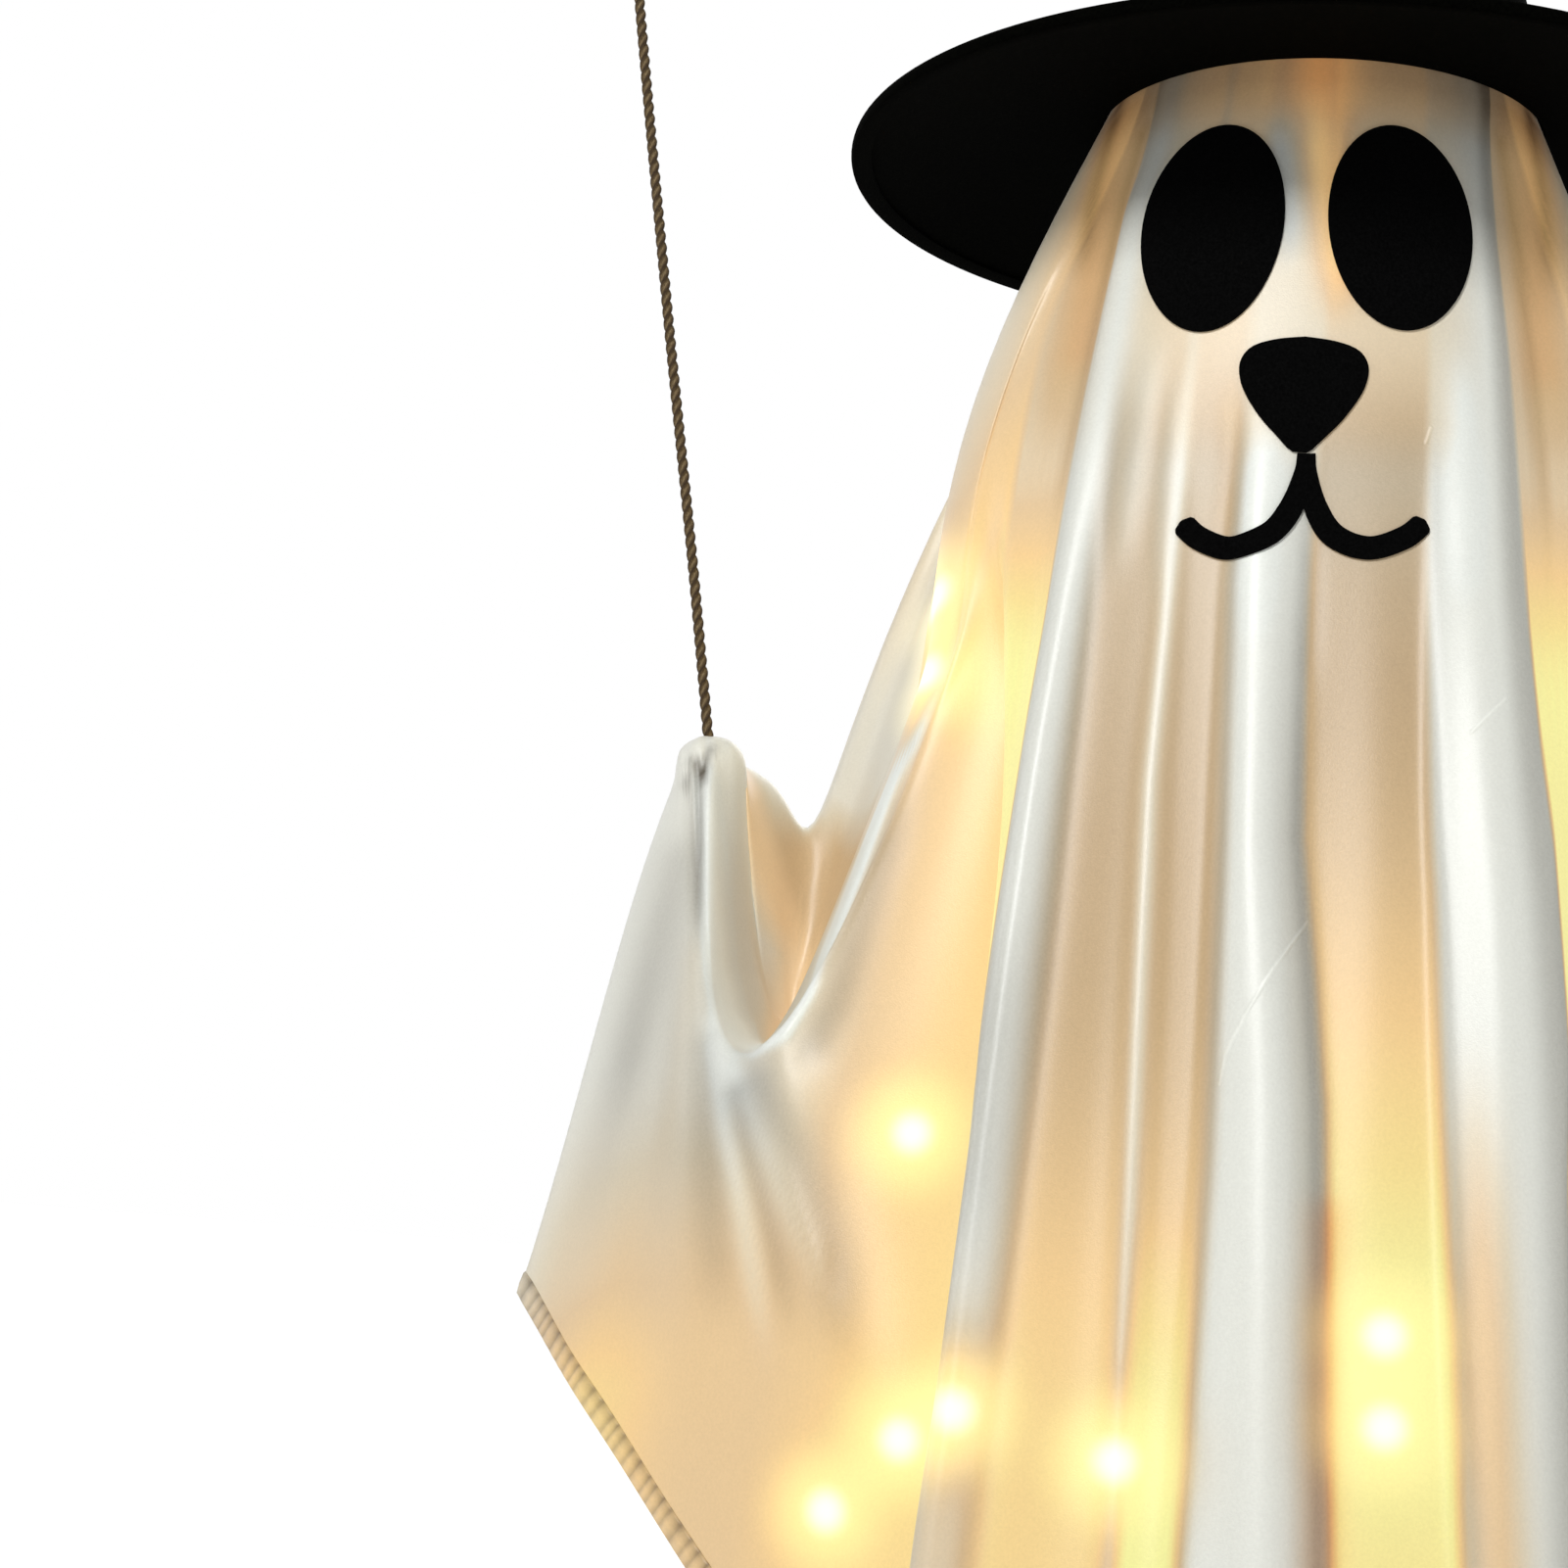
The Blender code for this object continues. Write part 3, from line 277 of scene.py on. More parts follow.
def rope(name, line, radius, closed=False):
    """A three-strand rope along evenly spaced points, closed at both ends or joined in a ring."""
    points, faces, marks = [], [], []
    count = len(line)
    side = Vector((0, 1, 0))
    length = 0.0
    for k, place in enumerate(line):
        if closed:
            ahead = (line[(k + 1) % count] - line[k - 1]).normalized()
        else:
            ahead = (line[min(k + 1, count - 1)] - line[max(k - 1, 0)]).normalized()
        side = (side - ahead * side.dot(ahead)).normalized()
        other = ahead.cross(side)
        twist = 2 * PI * length / ROPE_PITCH
        for j in range(ROPE_POINTS):
            angle = 2 * PI * j / ROPE_POINTS
            reach = rosette(radius, angle - twist)
            points.append(place + (side * math.cos(angle) + other * math.sin(angle)) * reach)
            marks.append((STRANDS * (angle - twist) / (2 * PI), length))
        length += (line[(k + 1) % count] - place).length if k + 1 < count or closed else 0.0
    for k in range(count if closed else count - 1):
        for j in range(ROPE_POINTS):
            here, there = k * ROPE_POINTS, (k + 1) % count * ROPE_POINTS
            after = (j + 1) % ROPE_POINTS
            faces.append((here + j, here + after, there + after, there + j))
    if not closed:
        faces.append(tuple(range(ROPE_POINTS))[::-1])
        faces.append(tuple(range(len(points) - ROPE_POINTS, len(points))))
    piece = mesh_piece(name, points, faces)
    layer = piece.data.uv_layers.new(name="rope")
    for face in piece.data.polygons:
        first = marks[piece.data.loops[face.loop_start].vertex_index]
        for corner in face.loop_indices:
            u, v = marks[piece.data.loops[corner].vertex_index]
            u += STRANDS * round((first[0] - u) / STRANDS)
            layer.data[corner].uv = (u, v)
    piece.data.shade_smooth()
    return piece


# %% [markdown]
# Each hand hangs from a twine that something above the picture holds taut. It is a limp cord
# with a straight run, a tight knot at its top and a loop to hang it by. The points are the CAD's
# own, in metres, and the right side mirrors the left.

# %% Twines, knots and loops
HAND = Vector((-0.2415, 0.0, 0.4330))
HAND_REACH = 0.01495
TWINE_ROUTE = [(-0.2434, 0.4512), (-0.2496, 0.4800), (-0.2575, 0.5250), (-0.2668, 0.5750), (-0.2757, 0.6230),
               (-0.2850, 0.6750), (-0.2930, 0.7200), (-0.3003, 0.7620), (-0.3073, 0.8030)]
KNOT_RADIUS = 0.0062
LOOP_LENGTH = 0.036
LOOP_WIDTH = 0.017
TWINE_SINK = 0.0012          # how deep the twine's end lies in the cloth
KNOT_TURNS = 2.25
KNOT_REACH = 0.0036


def twine_line(side):
    route = [Vector((-side * x, 0.0, z)) for x, z in TWINE_ROUTE]
    middle = Vector((-side * HAND.x, 0.0, HAND.z))
    start = middle + (route[1] - middle).normalized() * (HAND_REACH + 0.0006 - TWINE_SINK)
    return even_route([start] + route[1:], RING_GAP)


def make_twine(side, name):
    line = twine_line(side)
    ahead = (line[-1] - line[-4]).normalized()
    twine = rope("twine_" + name, line, TWINE_RADIUS)
    seat(twine, JUTE, "jute_twine", "twine_" + name)
    middle = line[-1] + ahead * (KNOT_RADIUS * 0.9)
    across = Vector((0, 1, 0))
    third = ahead.cross(across)
    turns = []
    for k in range(61):
        share = k / 60
        angle = 2 * PI * KNOT_TURNS * share
        reach = KNOT_REACH * math.sin(PI * min(max(share, 0.06), 0.94))**0.4
        up = mix(-KNOT_REACH, KNOT_REACH, share)
        turns.append(middle + ahead * up + (across * math.cos(angle) + third * math.sin(angle)) * reach)
    knot = rope("knot_" + name, even_route(turns[::3], RING_GAP), TWINE_RADIUS)
    seat(knot, JUTE, "jute_twine", "knot_" + name)
    foot = middle + ahead * (KNOT_RADIUS * 0.55)
    ring = []
    for k in range(49):
        angle = 2 * PI * k / 48
        rise = LOOP_LENGTH * (1 - math.cos(angle)) / 2
        width = LOOP_WIDTH / 2 * math.sin(angle) * (0.75 + 0.25 * rise / LOOP_LENGTH)
        ring.append(foot + ahead * (rise + 0.0035) + Vector((0.0, width, 0.0)))
    loop = rope("hanging_loop_" + name, even_route(ring, RING_GAP)[:-1], TWINE_RADIUS, closed=True)
    seat(loop, JUTE, "jute_twine", "hanging_loop_" + name)


make_twine(-1, "left")
make_twine(1, "right")

# %% [markdown]
# The sheet is the main piece. It could be simulated, but the photograph shows exactly where
# this cloth folds: two long panels in front and behind, pleats that turn back under them, and
# a cowl that swings from the head to each hand. So its columns are drawn from the head down,
# one after another round the head, along the same rails that the CAD model uses.

# %% Sheet: rails and sizes
SATIN_THICKNESS = 0.0008
HEAD_CENTRE = Vector((0.0, 0.0, 0.705))
SHEET_RADIUS = 0.0918
LEAVE_HEAD = math.radians(86)
HEAD_TOP = HEAD_CENTRE.z + SHEET_RADIUS * math.cos(LEAVE_HEAD)
HEM_HEIGHT = 0.012
PANEL_AZIMUTH = math.radians(47)
PANEL_DEPTH_TOP = 0.0912
PANEL_DEPTH_HEM = 0.197
EDGE_DEPTH_TOP = 0.0616      # the panel's edges lie less far forward than its middle
EDGE_DEPTH_HEM = 0.176
# Half widths of the panel: height, and distance of its edge from the middle, for each side
PANEL_LEFT = [(0.012, 0.1240), (0.140, 0.1175), (0.180, 0.1145), (0.260, 0.1104), (0.340, 0.1059),
              (0.420, 0.1006), (0.500, 0.0935), (0.570, 0.0873), (0.620, 0.0823), (0.660, 0.0775),
              (0.680, 0.0715), (0.700, 0.0680), (0.7114, 0.0671)]
PANEL_RIGHT = [(0.012, 0.1240), (0.180, 0.1145), (0.300, 0.1083), (0.340, 0.1047), (0.380, 0.1008),
               (0.420, 0.0946), (0.500, 0.0848), (0.540, 0.0814), (0.600, 0.0765), (0.640, 0.0723),
               (0.680, 0.0680), (0.700, 0.0665), (0.7114, 0.0671)]
# Where the cowl's lip runs from the head to the hand, in front and behind, and the hem under it
FRONT_RAIL = [Vector((-0.0875, -0.045, 0.645)), Vector((-0.1370, -0.080, 0.460)),
              Vector((-0.2050, -0.100, 0.145)), Vector((-0.2390, -0.020, 0.413))]
BACK_RAIL = [Vector((-0.1030, 0.030, 0.7130)), Vector((-0.1320, 0.045, 0.6600)), Vector((-0.1545, 0.050, 0.5890)),
             Vector((-0.1745, 0.052, 0.5170)), Vector((-0.1910, 0.050, 0.4600)), Vector((-0.2042, 0.045, 0.4110)),
             Vector((-0.2170, 0.029, 0.4350)), Vector((-0.2295, 0.012, 0.4465))]
FRONT_HEM = [Vector((-0.1180, -0.140, 0.018)), Vector((-0.1820, -0.098, 0.084)),
             Vector((-0.2460, -0.060, 0.150)), Vector((-0.3080, 0.000, 0.212))]
TROUGH_FLOOR = Vector((-0.2040, 0.010, 0.300))
CROWN_OF_HAND = HAND + Vector((-0.0015, 0.0, HAND_REACH))
# Rows count down from the head: the cowl's slope, the climb to its lip, and the fall to the hem
SLOPE_END, CREST_END, LAST_ROW = 4.0, 7.0, 13.0
DOME_STEP = math.radians(44)
CROWDING = 0.75              # under 1, the columns lie closer together towards the hand
SIDE_UNITS = 11

# %% [markdown]
# In front and behind, the cloth hangs from the head as a wide panel. Each point of a panel comes
# from its height and its share of the way to the panel's edge, and the long folds are bumps added
# to its depth. They follow the photograph, fold by fold, at the front. A cloth simulation would
# give folds of its own.

# %% Sheet: the front and back panels
BACK_RIDGES = [(-0.86, 0.16, 1.0), (-0.36, 0.13, 1.0), (0.10, 0.14, 1.0), (0.55, 0.13, 1.0), (0.92, 0.12, 1.0)]


def plateau(t, start, rise, end, drop):
    """1 between two sides, each of its own steepness, and 0 outside."""
    return ease((t - start) / rise + 0.5) * ease((end - t) / drop + 0.5)


# Where the front's folds lie across the panel, at each height
THIN_RIDGE = [(0.14, -0.370), (0.26, -0.410), (0.42, -0.470)]
FOLD_LINE = [(0.14, -0.180), (0.28, -0.175), (0.40, -0.200), (0.50, -0.235)]
VALLEY = [(0.14, 0.222), (0.22, 0.195), (0.30, 0.160), (0.35, 0.115), (0.40, 0.060), (0.48, 0.041), (0.58, 0.035)]
BAND_START = [(0.14, 0.630), (0.30, 0.560), (0.40, 0.540)]


def front_folds(across, height):
    """The front panel's own folds: a rolled edge, a pinched ridge, a broad fold, a lit strip, a band."""
    valley = step_up(height, VALLEY)
    rise = 0.95 * bump(across, -0.93, 0.10)
    rise += 0.32 * bump(across, step_up(height, THIN_RIDGE), 0.032) + 0.22 * bump(across, -0.52, 0.14)
    broad = plateau(across, step_up(height, FOLD_LINE), 0.09, valley - 0.033, 0.13)
    rise += broad * (0.66 + 0.34 * bump(across, valley - 0.17, 0.10))
    rise += 0.20 * bump(across, 0.36, 0.16)
    band = plateau(across, step_up(height, BAND_START), 0.07, 1.10, 0.2)
    rise += band * (0.50 + 0.45 * bump(across, 0.78, 0.13))
    return 0.0140 * rise - 0.004


def panel_folds(across, fall, back):
    if back:
        height = sum(size * bump(across, middle, width) for middle, width, size in BACK_RIDGES)
        return (0.0155 * height - 0.006) * ease((fall - 0.16) / 0.75)
    return front_folds(across, mix(HEAD_TOP, HEM_HEIGHT, fall)) * ease((fall - 0.13) / 0.42)


def edge_depth(fall):
    return mix(EDGE_DEPTH_TOP, EDGE_DEPTH_HEM, fall**0.85)


def panel_point(side, share, fall, back):
    height = mix(HEAD_TOP, HEM_HEIGHT, fall)
    half = step_up(height, PANEL_LEFT if side < 0 else PANEL_RIGHT)
    depth = mix(PANEL_DEPTH_TOP, PANEL_DEPTH_HEM, fall) - 0.016 * math.sin(PI * min(fall, 1.0)) * (1 - fall)
    turn = mix(math.radians(58), math.radians(24), ease(fall / 0.7))
    bow = (1 - math.cos(share * turn)) / (1 - math.cos(turn))
    x = half * math.sin(share * turn) / math.sin(turn)
    y = mix(depth, edge_depth(fall), bow) + panel_folds(side * share, fall, back)
    return Vector((side * x, y if back else -y, height))


def panel_fall(row):
    """How far down the panel a row lies, from 0 at the head to 1 at the hem."""
    if row < SLOPE_END:
        return 0.10 * row / SLOPE_END
    if row < CREST_END:
        return mix(0.10, 0.26, (row - SLOPE_END) / (CREST_END - SLOPE_END))
    return mix(0.26, 1.0, (row - CREST_END) / (LAST_ROW - CREST_END))


# %% [markdown]
# At each side the cloth is pulled up to the hand. On its way it sags into a cowl, rises to the
# cowl's lip and falls to the hem. Three curves with set directions at their ends draw that way.
# Near the bead the cloth is laid on it as a gathered dome.

# %% Sheet: the side that is pulled up to the hand
def on_head(azimuth, polar):
    ring = SHEET_RADIUS * math.sin(polar)
    return HEAD_CENTRE + Vector((-ring * math.sin(azimuth), -ring * math.cos(azimuth),
                                 SHEET_RADIUS * math.cos(polar)))


def over_hand(place, rows_off, columns_off, sign):
    """Cloth next to the top of the hand lies on the bead as a dome, and none goes inside it."""
    steps = math.hypot(rows_off, columns_off)
    if steps < 2.6:
        tilt = min(steps * DOME_STEP, math.radians(96))
        around = math.atan2(columns_off * sign, -rows_off)
        ring = math.sin(tilt)
        gathered = HAND_REACH + 0.0011 * (1 + math.cos(9 * around)) * ease(steps / 0.8)
        onto = HAND + gathered * Vector((ring * math.cos(around), ring * math.sin(around), math.cos(tilt)))
        place = mix(place, onto, 1 - ease((steps - 1.3) / 1.3))
    away = place - HAND
    if away.length < HAND_REACH:
        return HAND + away.normalized() * HAND_REACH
    return place


# The outline of the side under the brim: height, and distance from the axis
FLARE = [(0.470, 0.1750), (0.504, 0.1710), (0.538, 0.1650), (0.572, 0.1552), (0.607, 0.1447), (0.642, 0.1330),
         (0.6715, 0.1212), (0.688, 0.1122), (0.7035, 0.1025), (0.7125, 0.0960), (0.7150, 0.0932)]


def flare(place):
    """Above the cowl the side is one closed cone from the brim down, with a groove beside the panel."""
    held = ease((place.z - 0.488) / 0.045)
    if held <= 0.0:
        return place
    reach = math.hypot(place.x, place.y)
    angle = math.degrees(math.atan2(-place.x, -place.y))
    swell = max(math.sin(PI * min(max((angle - 50) / 80, 0.0), 1.0)), 0.0)**0.7
    fall = (HEAD_TOP - place.z) / (HEAD_TOP - HEM_HEIGHT)
    edge = math.hypot(step_up(place.z, PANEL_LEFT), edge_depth(max(fall, 0.0)))
    wanted = mix(edge, step_up(place.z, FLARE), swell)
    alone = ease((place.z - 0.580) / 0.045) * ease((swell - 0.25) / 0.30)
    groove = 0.0012 * bump(angle, 57, 5.0) * ease((place.z - 0.62) / 0.05) * ease((0.713 - place.z) / 0.010)
    grown = mix(max(reach, wanted), wanted, alone) - groove
    grown = mix(reach, grown, held) / max(reach, 1e-6)
    return Vector((place.x * grown, place.y * grown, place.z))


def ridges_from_hand(place):
    """Soft folds that run out from the hand down the hanging side."""
    reach = place - HAND
    distance = math.hypot(reach.x, reach.z)
    if distance < 1e-6:
        return 0.0
    angle = math.degrees(math.atan2(reach.x, -reach.z))
    depth = sum(size * bump(angle, middle, 4.5) for middle, size in ((-6, 0.006), (6, 0.007), (21, 0.009)))
    return depth * ease((distance - 0.06) / 0.10) * ease((0.36 - distance) / 0.14)


def side_point(share, back, row):
    """A point of the left side: share runs 0 to 1 from the panel's pleat to the hand."""
    sign = 1.0 if back else -1.0
    azimuth = mix(PANEL_AZIMUTH + math.radians(5), PI / 2, share)
    if back:
        azimuth = PI - azimuth
    top = on_head(azimuth, math.radians(84))
    along = min(share / 0.93, 1.0)
    crest = route_point(BACK_RAIL, along) if back else bezier(FRONT_RAIL, along)
    crest = mix(crest, CROWN_OF_HAND, ease((share - 0.86) / 0.14))
    hem = bezier(FRONT_HEM, share)
    hem = Vector((hem.x, -hem.y * sign, hem.z)) if back else hem
    middle = (top + crest) / 2
    trough = mix(middle, TROUGH_FLOOR, 0.92 * ease((share - 0.26) / 0.48)**(2.0 if back else 1.0))
    fold = ease((share - 0.10) / 0.35)
    out = Vector((-0.25, sign, 0.0)).normalized()
    out = mix(out, Vector((-1.0, 0.0, 0.0)), ease((share - 0.88) / 0.12)).normalized()
    fall = (hem - crest).normalized()
    down = Vector((-0.10, 0.02 * sign, -1.0)).normalized()
    leave_top = mix(trough - top, down * (trough - top).length, 0.5 * fold)
    at_trough = mix((crest - top) * 0.3, mix(out, (crest - trough).normalized(), 0.5) * 0.09, fold)
    at_crest = mix(fall * min(0.06, 1.2 * (crest - trough).length), out * 0.045, fold)
    if row < SLOPE_END:
        place = hermite(top, leave_top, trough, at_trough, row / SLOPE_END)
    elif row < CREST_END:
        place = hermite(trough, at_trough, crest, at_crest, ((row - SLOPE_END) / (CREST_END - SLOPE_END))**0.7)
    else:
        start = mix(fall * 0.09, out * 0.068, fold)
        share_down = ((row - CREST_END) / (LAST_ROW - CREST_END))**1.45
        place = hermite(crest, start, hem, fall * (hem - crest).length, share_down)
    columns_off = SIDE_UNITS * (1 - share**(1 / CROWDING))
    place = over_hand(flare(place), row - CREST_END, columns_off, sign)
    return place + Vector((0.0, sign * ridges_from_hand(place), 0.0))


# %% [markdown]
# The whole sheet is one grid. Its columns go round the head: panel, pleat, side, and back again
# behind. Its rows go from the crown of the head down to the hem. The right side is the left one,
# mirrored. A few rounds of smoothing then turn sharp creases into rolls of cloth.

# %% Sheet: one column after another round the head
TUCK = 0.010                 # how far the pleat goes in behind the panel's edge


def column_place(kind, side, share, back, row):
    if kind == "panel":
        return panel_point(side, share, panel_fall(row), back)
    if kind == "side":
        p = side_point(share, back, row)
        return Vector((-side * p.x, p.y, p.z))
    edge = panel_point(side, 1.0, panel_fall(row), back)
    p = side_point(0.0, back, row)
    place = mix(edge, Vector((-side * p.x, p.y, p.z)), share)
    return place + Vector((-side * TUCK * math.sin(PI * share) * ease((row + 1) / 6), 0.0, 0.0))


def column_azimuth(kind, side, share, back):
    pleat_end = PANEL_AZIMUTH + math.radians(5)
    angle = {"panel": PANEL_AZIMUTH * share, "pleat": mix(PANEL_AZIMUTH, pleat_end, share),
             "side": mix(pleat_end, PI / 2, share)}[kind]
    return (PI - angle if back else angle) * -side


def half_order(side, front, back):
    """The columns of one half as (kind, side, share, back), from the front's middle to the back's."""
    half = []
    for behind, (panel, pleat, side_count) in ((False, front), (True, back)):
        run = [("panel", side, k / panel, behind) for k in range(panel + 1)]
        run += [("pleat", side, k / pleat, behind) for k in range(1, pleat)]
        run += [("side", side, (k / side_count)**CROWDING, behind) for k in range(side_count + 1)]
        half += run[:-1][::-1] if behind else run
    return half


ROWS = ([SLOPE_END * k / 14 for k in range(14)] + [mix(SLOPE_END, CREST_END, k / 20) for k in range(20)]
        + [mix(CREST_END, LAST_ROW, k / 84) for k in range(85)])
HEAD_ROWS = 7
COLUMNS = half_order(-1, (70, 9, 80), (16, 7, 34)) + half_order(1, (70, 9, 34), (16, 7, 22))[-2:0:-1]
print("sheet grid:", len(COLUMNS), "columns of", HEAD_ROWS + len(ROWS), "rows")


# %% Sheet: the grid, relaxed so that its creases are rolls of cloth
def relax(grid, times, amount=0.5, first=HEAD_ROWS):
    for _ in range(times):
        beside = (np.roll(grid, 1, axis=0) + np.roll(grid, -1, axis=0)) / 2
        grid[:, first:] += amount * (beside - grid)[:, first:]
        above = grid[:, first + 1:-1]
        above += 0.3 * amount * ((grid[:, first:-2] + grid[:, first + 2:]) / 2 - above)
    return grid


def keep_off_hands(grid):
    for x in (HAND.x, -HAND.x):
        middle = np.array((x, HAND.y, HAND.z))
        away = grid - middle
        far = np.linalg.norm(away, axis=2, keepdims=True)
        near = far < HAND_REACH
        grid[:] = np.where(near, middle + away / np.maximum(far, 1e-9) * HAND_REACH, grid)
    return grid


def sheet_grid():
    grid = np.zeros((len(COLUMNS), HEAD_ROWS + len(ROWS), 3))
    for c, (kind, side, share, back) in enumerate(COLUMNS):
        azimuth = column_azimuth(kind, side, share, back)
        for k in range(HEAD_ROWS):
            grid[c, k] = on_head(azimuth, LEAVE_HEAD * (k + 1) / (HEAD_ROWS + 1))
        for k, row in enumerate(ROWS):
            grid[c, HEAD_ROWS + k] = column_place(kind, side, share, back, row)
    return keep_off_hands(relax(grid, 6))


# %% [markdown]
# On top of the large folds come the small ones: the roll of the cowl's lip, the folds that run
# from it down the sleeve, the gathers at the hand and the soft dents of the front. They could be
# sculpted by hand, but a list can be read and changed. Each is a stroke, like a pencil line seen
# from the front: a line of (x, z) points, its half width, how far it raises the cloth, how much it
# shades it and how much it warms it, all fading with distance from the line.

# %% Strokes
# A positive shade in a stroke is painted shade. A negative one, as on the lip, the folds from it, the cheeks and
# the chin, is a painted highlight.
SIDE_STROKES = {
    "lip": ([(-0.2408, 0.4288), (-0.2352, 0.4038), (-0.2299, 0.3719), (-0.2247, 0.3461), (-0.2177, 0.3259),
             (-0.2106, 0.3164), (-0.1998, 0.3123), (-0.1877, 0.3181), (-0.1797, 0.3354), (-0.1769, 0.3544),
             (-0.1708, 0.3748), (-0.1639, 0.3984), (-0.1559, 0.4256), (-0.1462, 0.4400), (-0.1300, 0.4850),
             (-0.1190, 0.5300), (-0.1130, 0.5700)], 0.0034, 0.0028, -0.30, -0.45),
    "shade beside the lip": ([(-0.1760, 0.3130), (-0.1720, 0.3220), (-0.1680, 0.3300), (-0.1590, 0.3700),
                              (-0.1490, 0.4100), (-0.1400, 0.4300)], 0.0080, -0.0014, 0.34, 0.0),
    "first fold from the lip": ([(-0.2177, 0.3201), (-0.2096, 0.3056), (-0.1868, 0.2647), (-0.1685, 0.2342),
                                 (-0.1540, 0.1850)], 0.0060, 0.0030, -0.16, -0.10),
    "its hollow": ([(-0.1960, 0.2960), (-0.1794, 0.2726), (-0.1598, 0.2330), (-0.1480, 0.1850)],
                   0.0110, -0.0022, 0.34, -0.08),
    "second fold from the lip": ([(-0.2167, 0.3114), (-0.2090, 0.2800), (-0.1986, 0.2496), (-0.1790, 0.1800)],
                                 0.0050, 0.0022, -0.18, -0.14),
    "hollow between them": ([(-0.2060, 0.2920), (-0.1930, 0.2600), (-0.1700, 0.1950)], 0.0060, -0.0012, 0.24, 0.0),
    "hollow beyond the second": ([(-0.2190, 0.3100), (-0.2160, 0.2700), (-0.2020, 0.1950)],
                                 0.0090, -0.0012, 0.22, 0.0),
    "fold down the sleeve": ([(-0.2330, 0.3500), (-0.2340, 0.3000), (-0.2380, 0.2500)], 0.0065, 0.0008, 0.0, 0.05),
    "hollow under the hand": ([(-0.2425, 0.4310), (-0.2402, 0.4078), (-0.2368, 0.3800), (-0.2310, 0.3480)],
                              0.0028, -0.0018, 0.40, 0.0),
    "sleeve's broad hollow": ([(-0.2480, 0.3900), (-0.2570, 0.3300), (-0.2650, 0.2700)],
                              0.0120, -0.0016, 0.20, 0.0),
    "first gather": ([(-0.2428, 0.4325), (-0.2404, 0.4400), (-0.2378, 0.4450)], 0.0026, -0.0012, 0.45, 0.0),
    "second gather": ([(-0.2428, 0.4325), (-0.2466, 0.4348), (-0.2500, 0.4378)], 0.0026, -0.0010, 0.45, 0.0),
    "third gather": ([(-0.2428, 0.4325), (-0.2476, 0.4275), (-0.2508, 0.4205)], 0.0028, -0.0010, 0.42, 0.0),
    "ridge between the first two": ([(-0.2430, 0.4330), (-0.2442, 0.4390), (-0.2452, 0.4440)],
                                    0.0014, 0.0012, -0.15, 0.0),
    "ridge between the last two": ([(-0.2430, 0.4325), (-0.2488, 0.4312), (-0.2528, 0.4290)],
                                   0.0014, 0.0012, -0.15, 0.0),
    "ridge over the lip": ([(-0.2426, 0.4325), (-0.2380, 0.4360), (-0.2345, 0.4400)], 0.0018, 0.0010, -0.12, 0.0),
    "pleat at the head": ([(-0.0837, 0.7160), (-0.0904, 0.6757), (-0.0935, 0.6300)], 0.0034, -0.0010, 0.42, 0.12),
    "tan beside the face": ([(-0.0800, 0.7120), (-0.0850, 0.6600), (-0.0930, 0.6000), (-0.1010, 0.5400)],
                            0.0110, 0.0, 0.14, 0.22),
    "panel's shadow": ([(-0.0712, 0.7000), (-0.0795, 0.6512), (-0.0856, 0.6004), (-0.0981, 0.4914)],
                       0.0028, -0.0008, 0.26, 0.10),
    "light behind the cowl": ([(-0.1500, 0.5150), (-0.1330, 0.4750), (-0.1200, 0.4300)], 0.0200, 0.0, -0.05, 0.25),
}
FRONT_STROKES = {
    "left cheek": ([(-0.0600, 0.6100), (-0.0631, 0.5700), (-0.0698, 0.4900)], 0.0060, 0.0010, -0.06, -0.12),
    "left cheek, inner": ([(-0.0500, 0.5950), (-0.0515, 0.5203), (-0.0520, 0.4800)], 0.0040, 0.0006, -0.06, -0.12),
    "warm streak": ([(-0.0300, 0.5900), (-0.0267, 0.5500), (-0.0266, 0.5000)], 0.0050, -0.0003, 0.04, 0.14),
    "chin": ([(-0.0130, 0.5700), (-0.0160, 0.5300), (-0.0150, 0.4700)], 0.0060, 0.0010, -0.08, -0.16),
    "chin's shadow": ([(0.0040, 0.5300), (0.0060, 0.4900), (0.0060, 0.4500)], 0.0045, -0.0006, 0.08, 0.0),
    "right cheek": ([(0.0560, 0.6100), (0.0600, 0.5700), (0.0640, 0.4900)], 0.0060, 0.0010, -0.06, -0.12),
    "brow": ([(-0.0190, 0.7000), (-0.0140, 0.6750), (-0.0097, 0.6500), (-0.0100, 0.6250)],
             0.0060, -0.0006, 0.10, -0.22),
    "lamp in the head": ([(-0.0040, 0.7600), (-0.0020, 0.7160), (-0.0010, 0.6980), (0.0000, 0.6750)],
                         0.0150, 0.0, 0.0, 0.20),
    "light between the eyes": ([(-0.0010, 0.7100), (0.0010, 0.6800), (0.0056, 0.6500), (0.0094, 0.6249),
                                (0.0090, 0.6000)], 0.0085, 0.0, -0.04, 0.42),
}
# Where the glow turns to amber: a line, its half width and how much, on the front panel and on the sides
AMBER_FRONT = [([(-0.0021, 0.7400), (-0.0010, 0.7120)], 0.0150, 0.50),
               ([(0.0060, 0.6950), (0.0086, 0.6614), (0.0116, 0.6254)], 0.0075, 0.22),
               ([(0.0230, 0.2600), (0.0260, 0.1400)], 0.0080, 0.60)]
AMBER_SIDE = [([(-0.0837, 0.7120), (-0.0870, 0.6600), (-0.0900, 0.6000)], 0.0095, 0.25)]


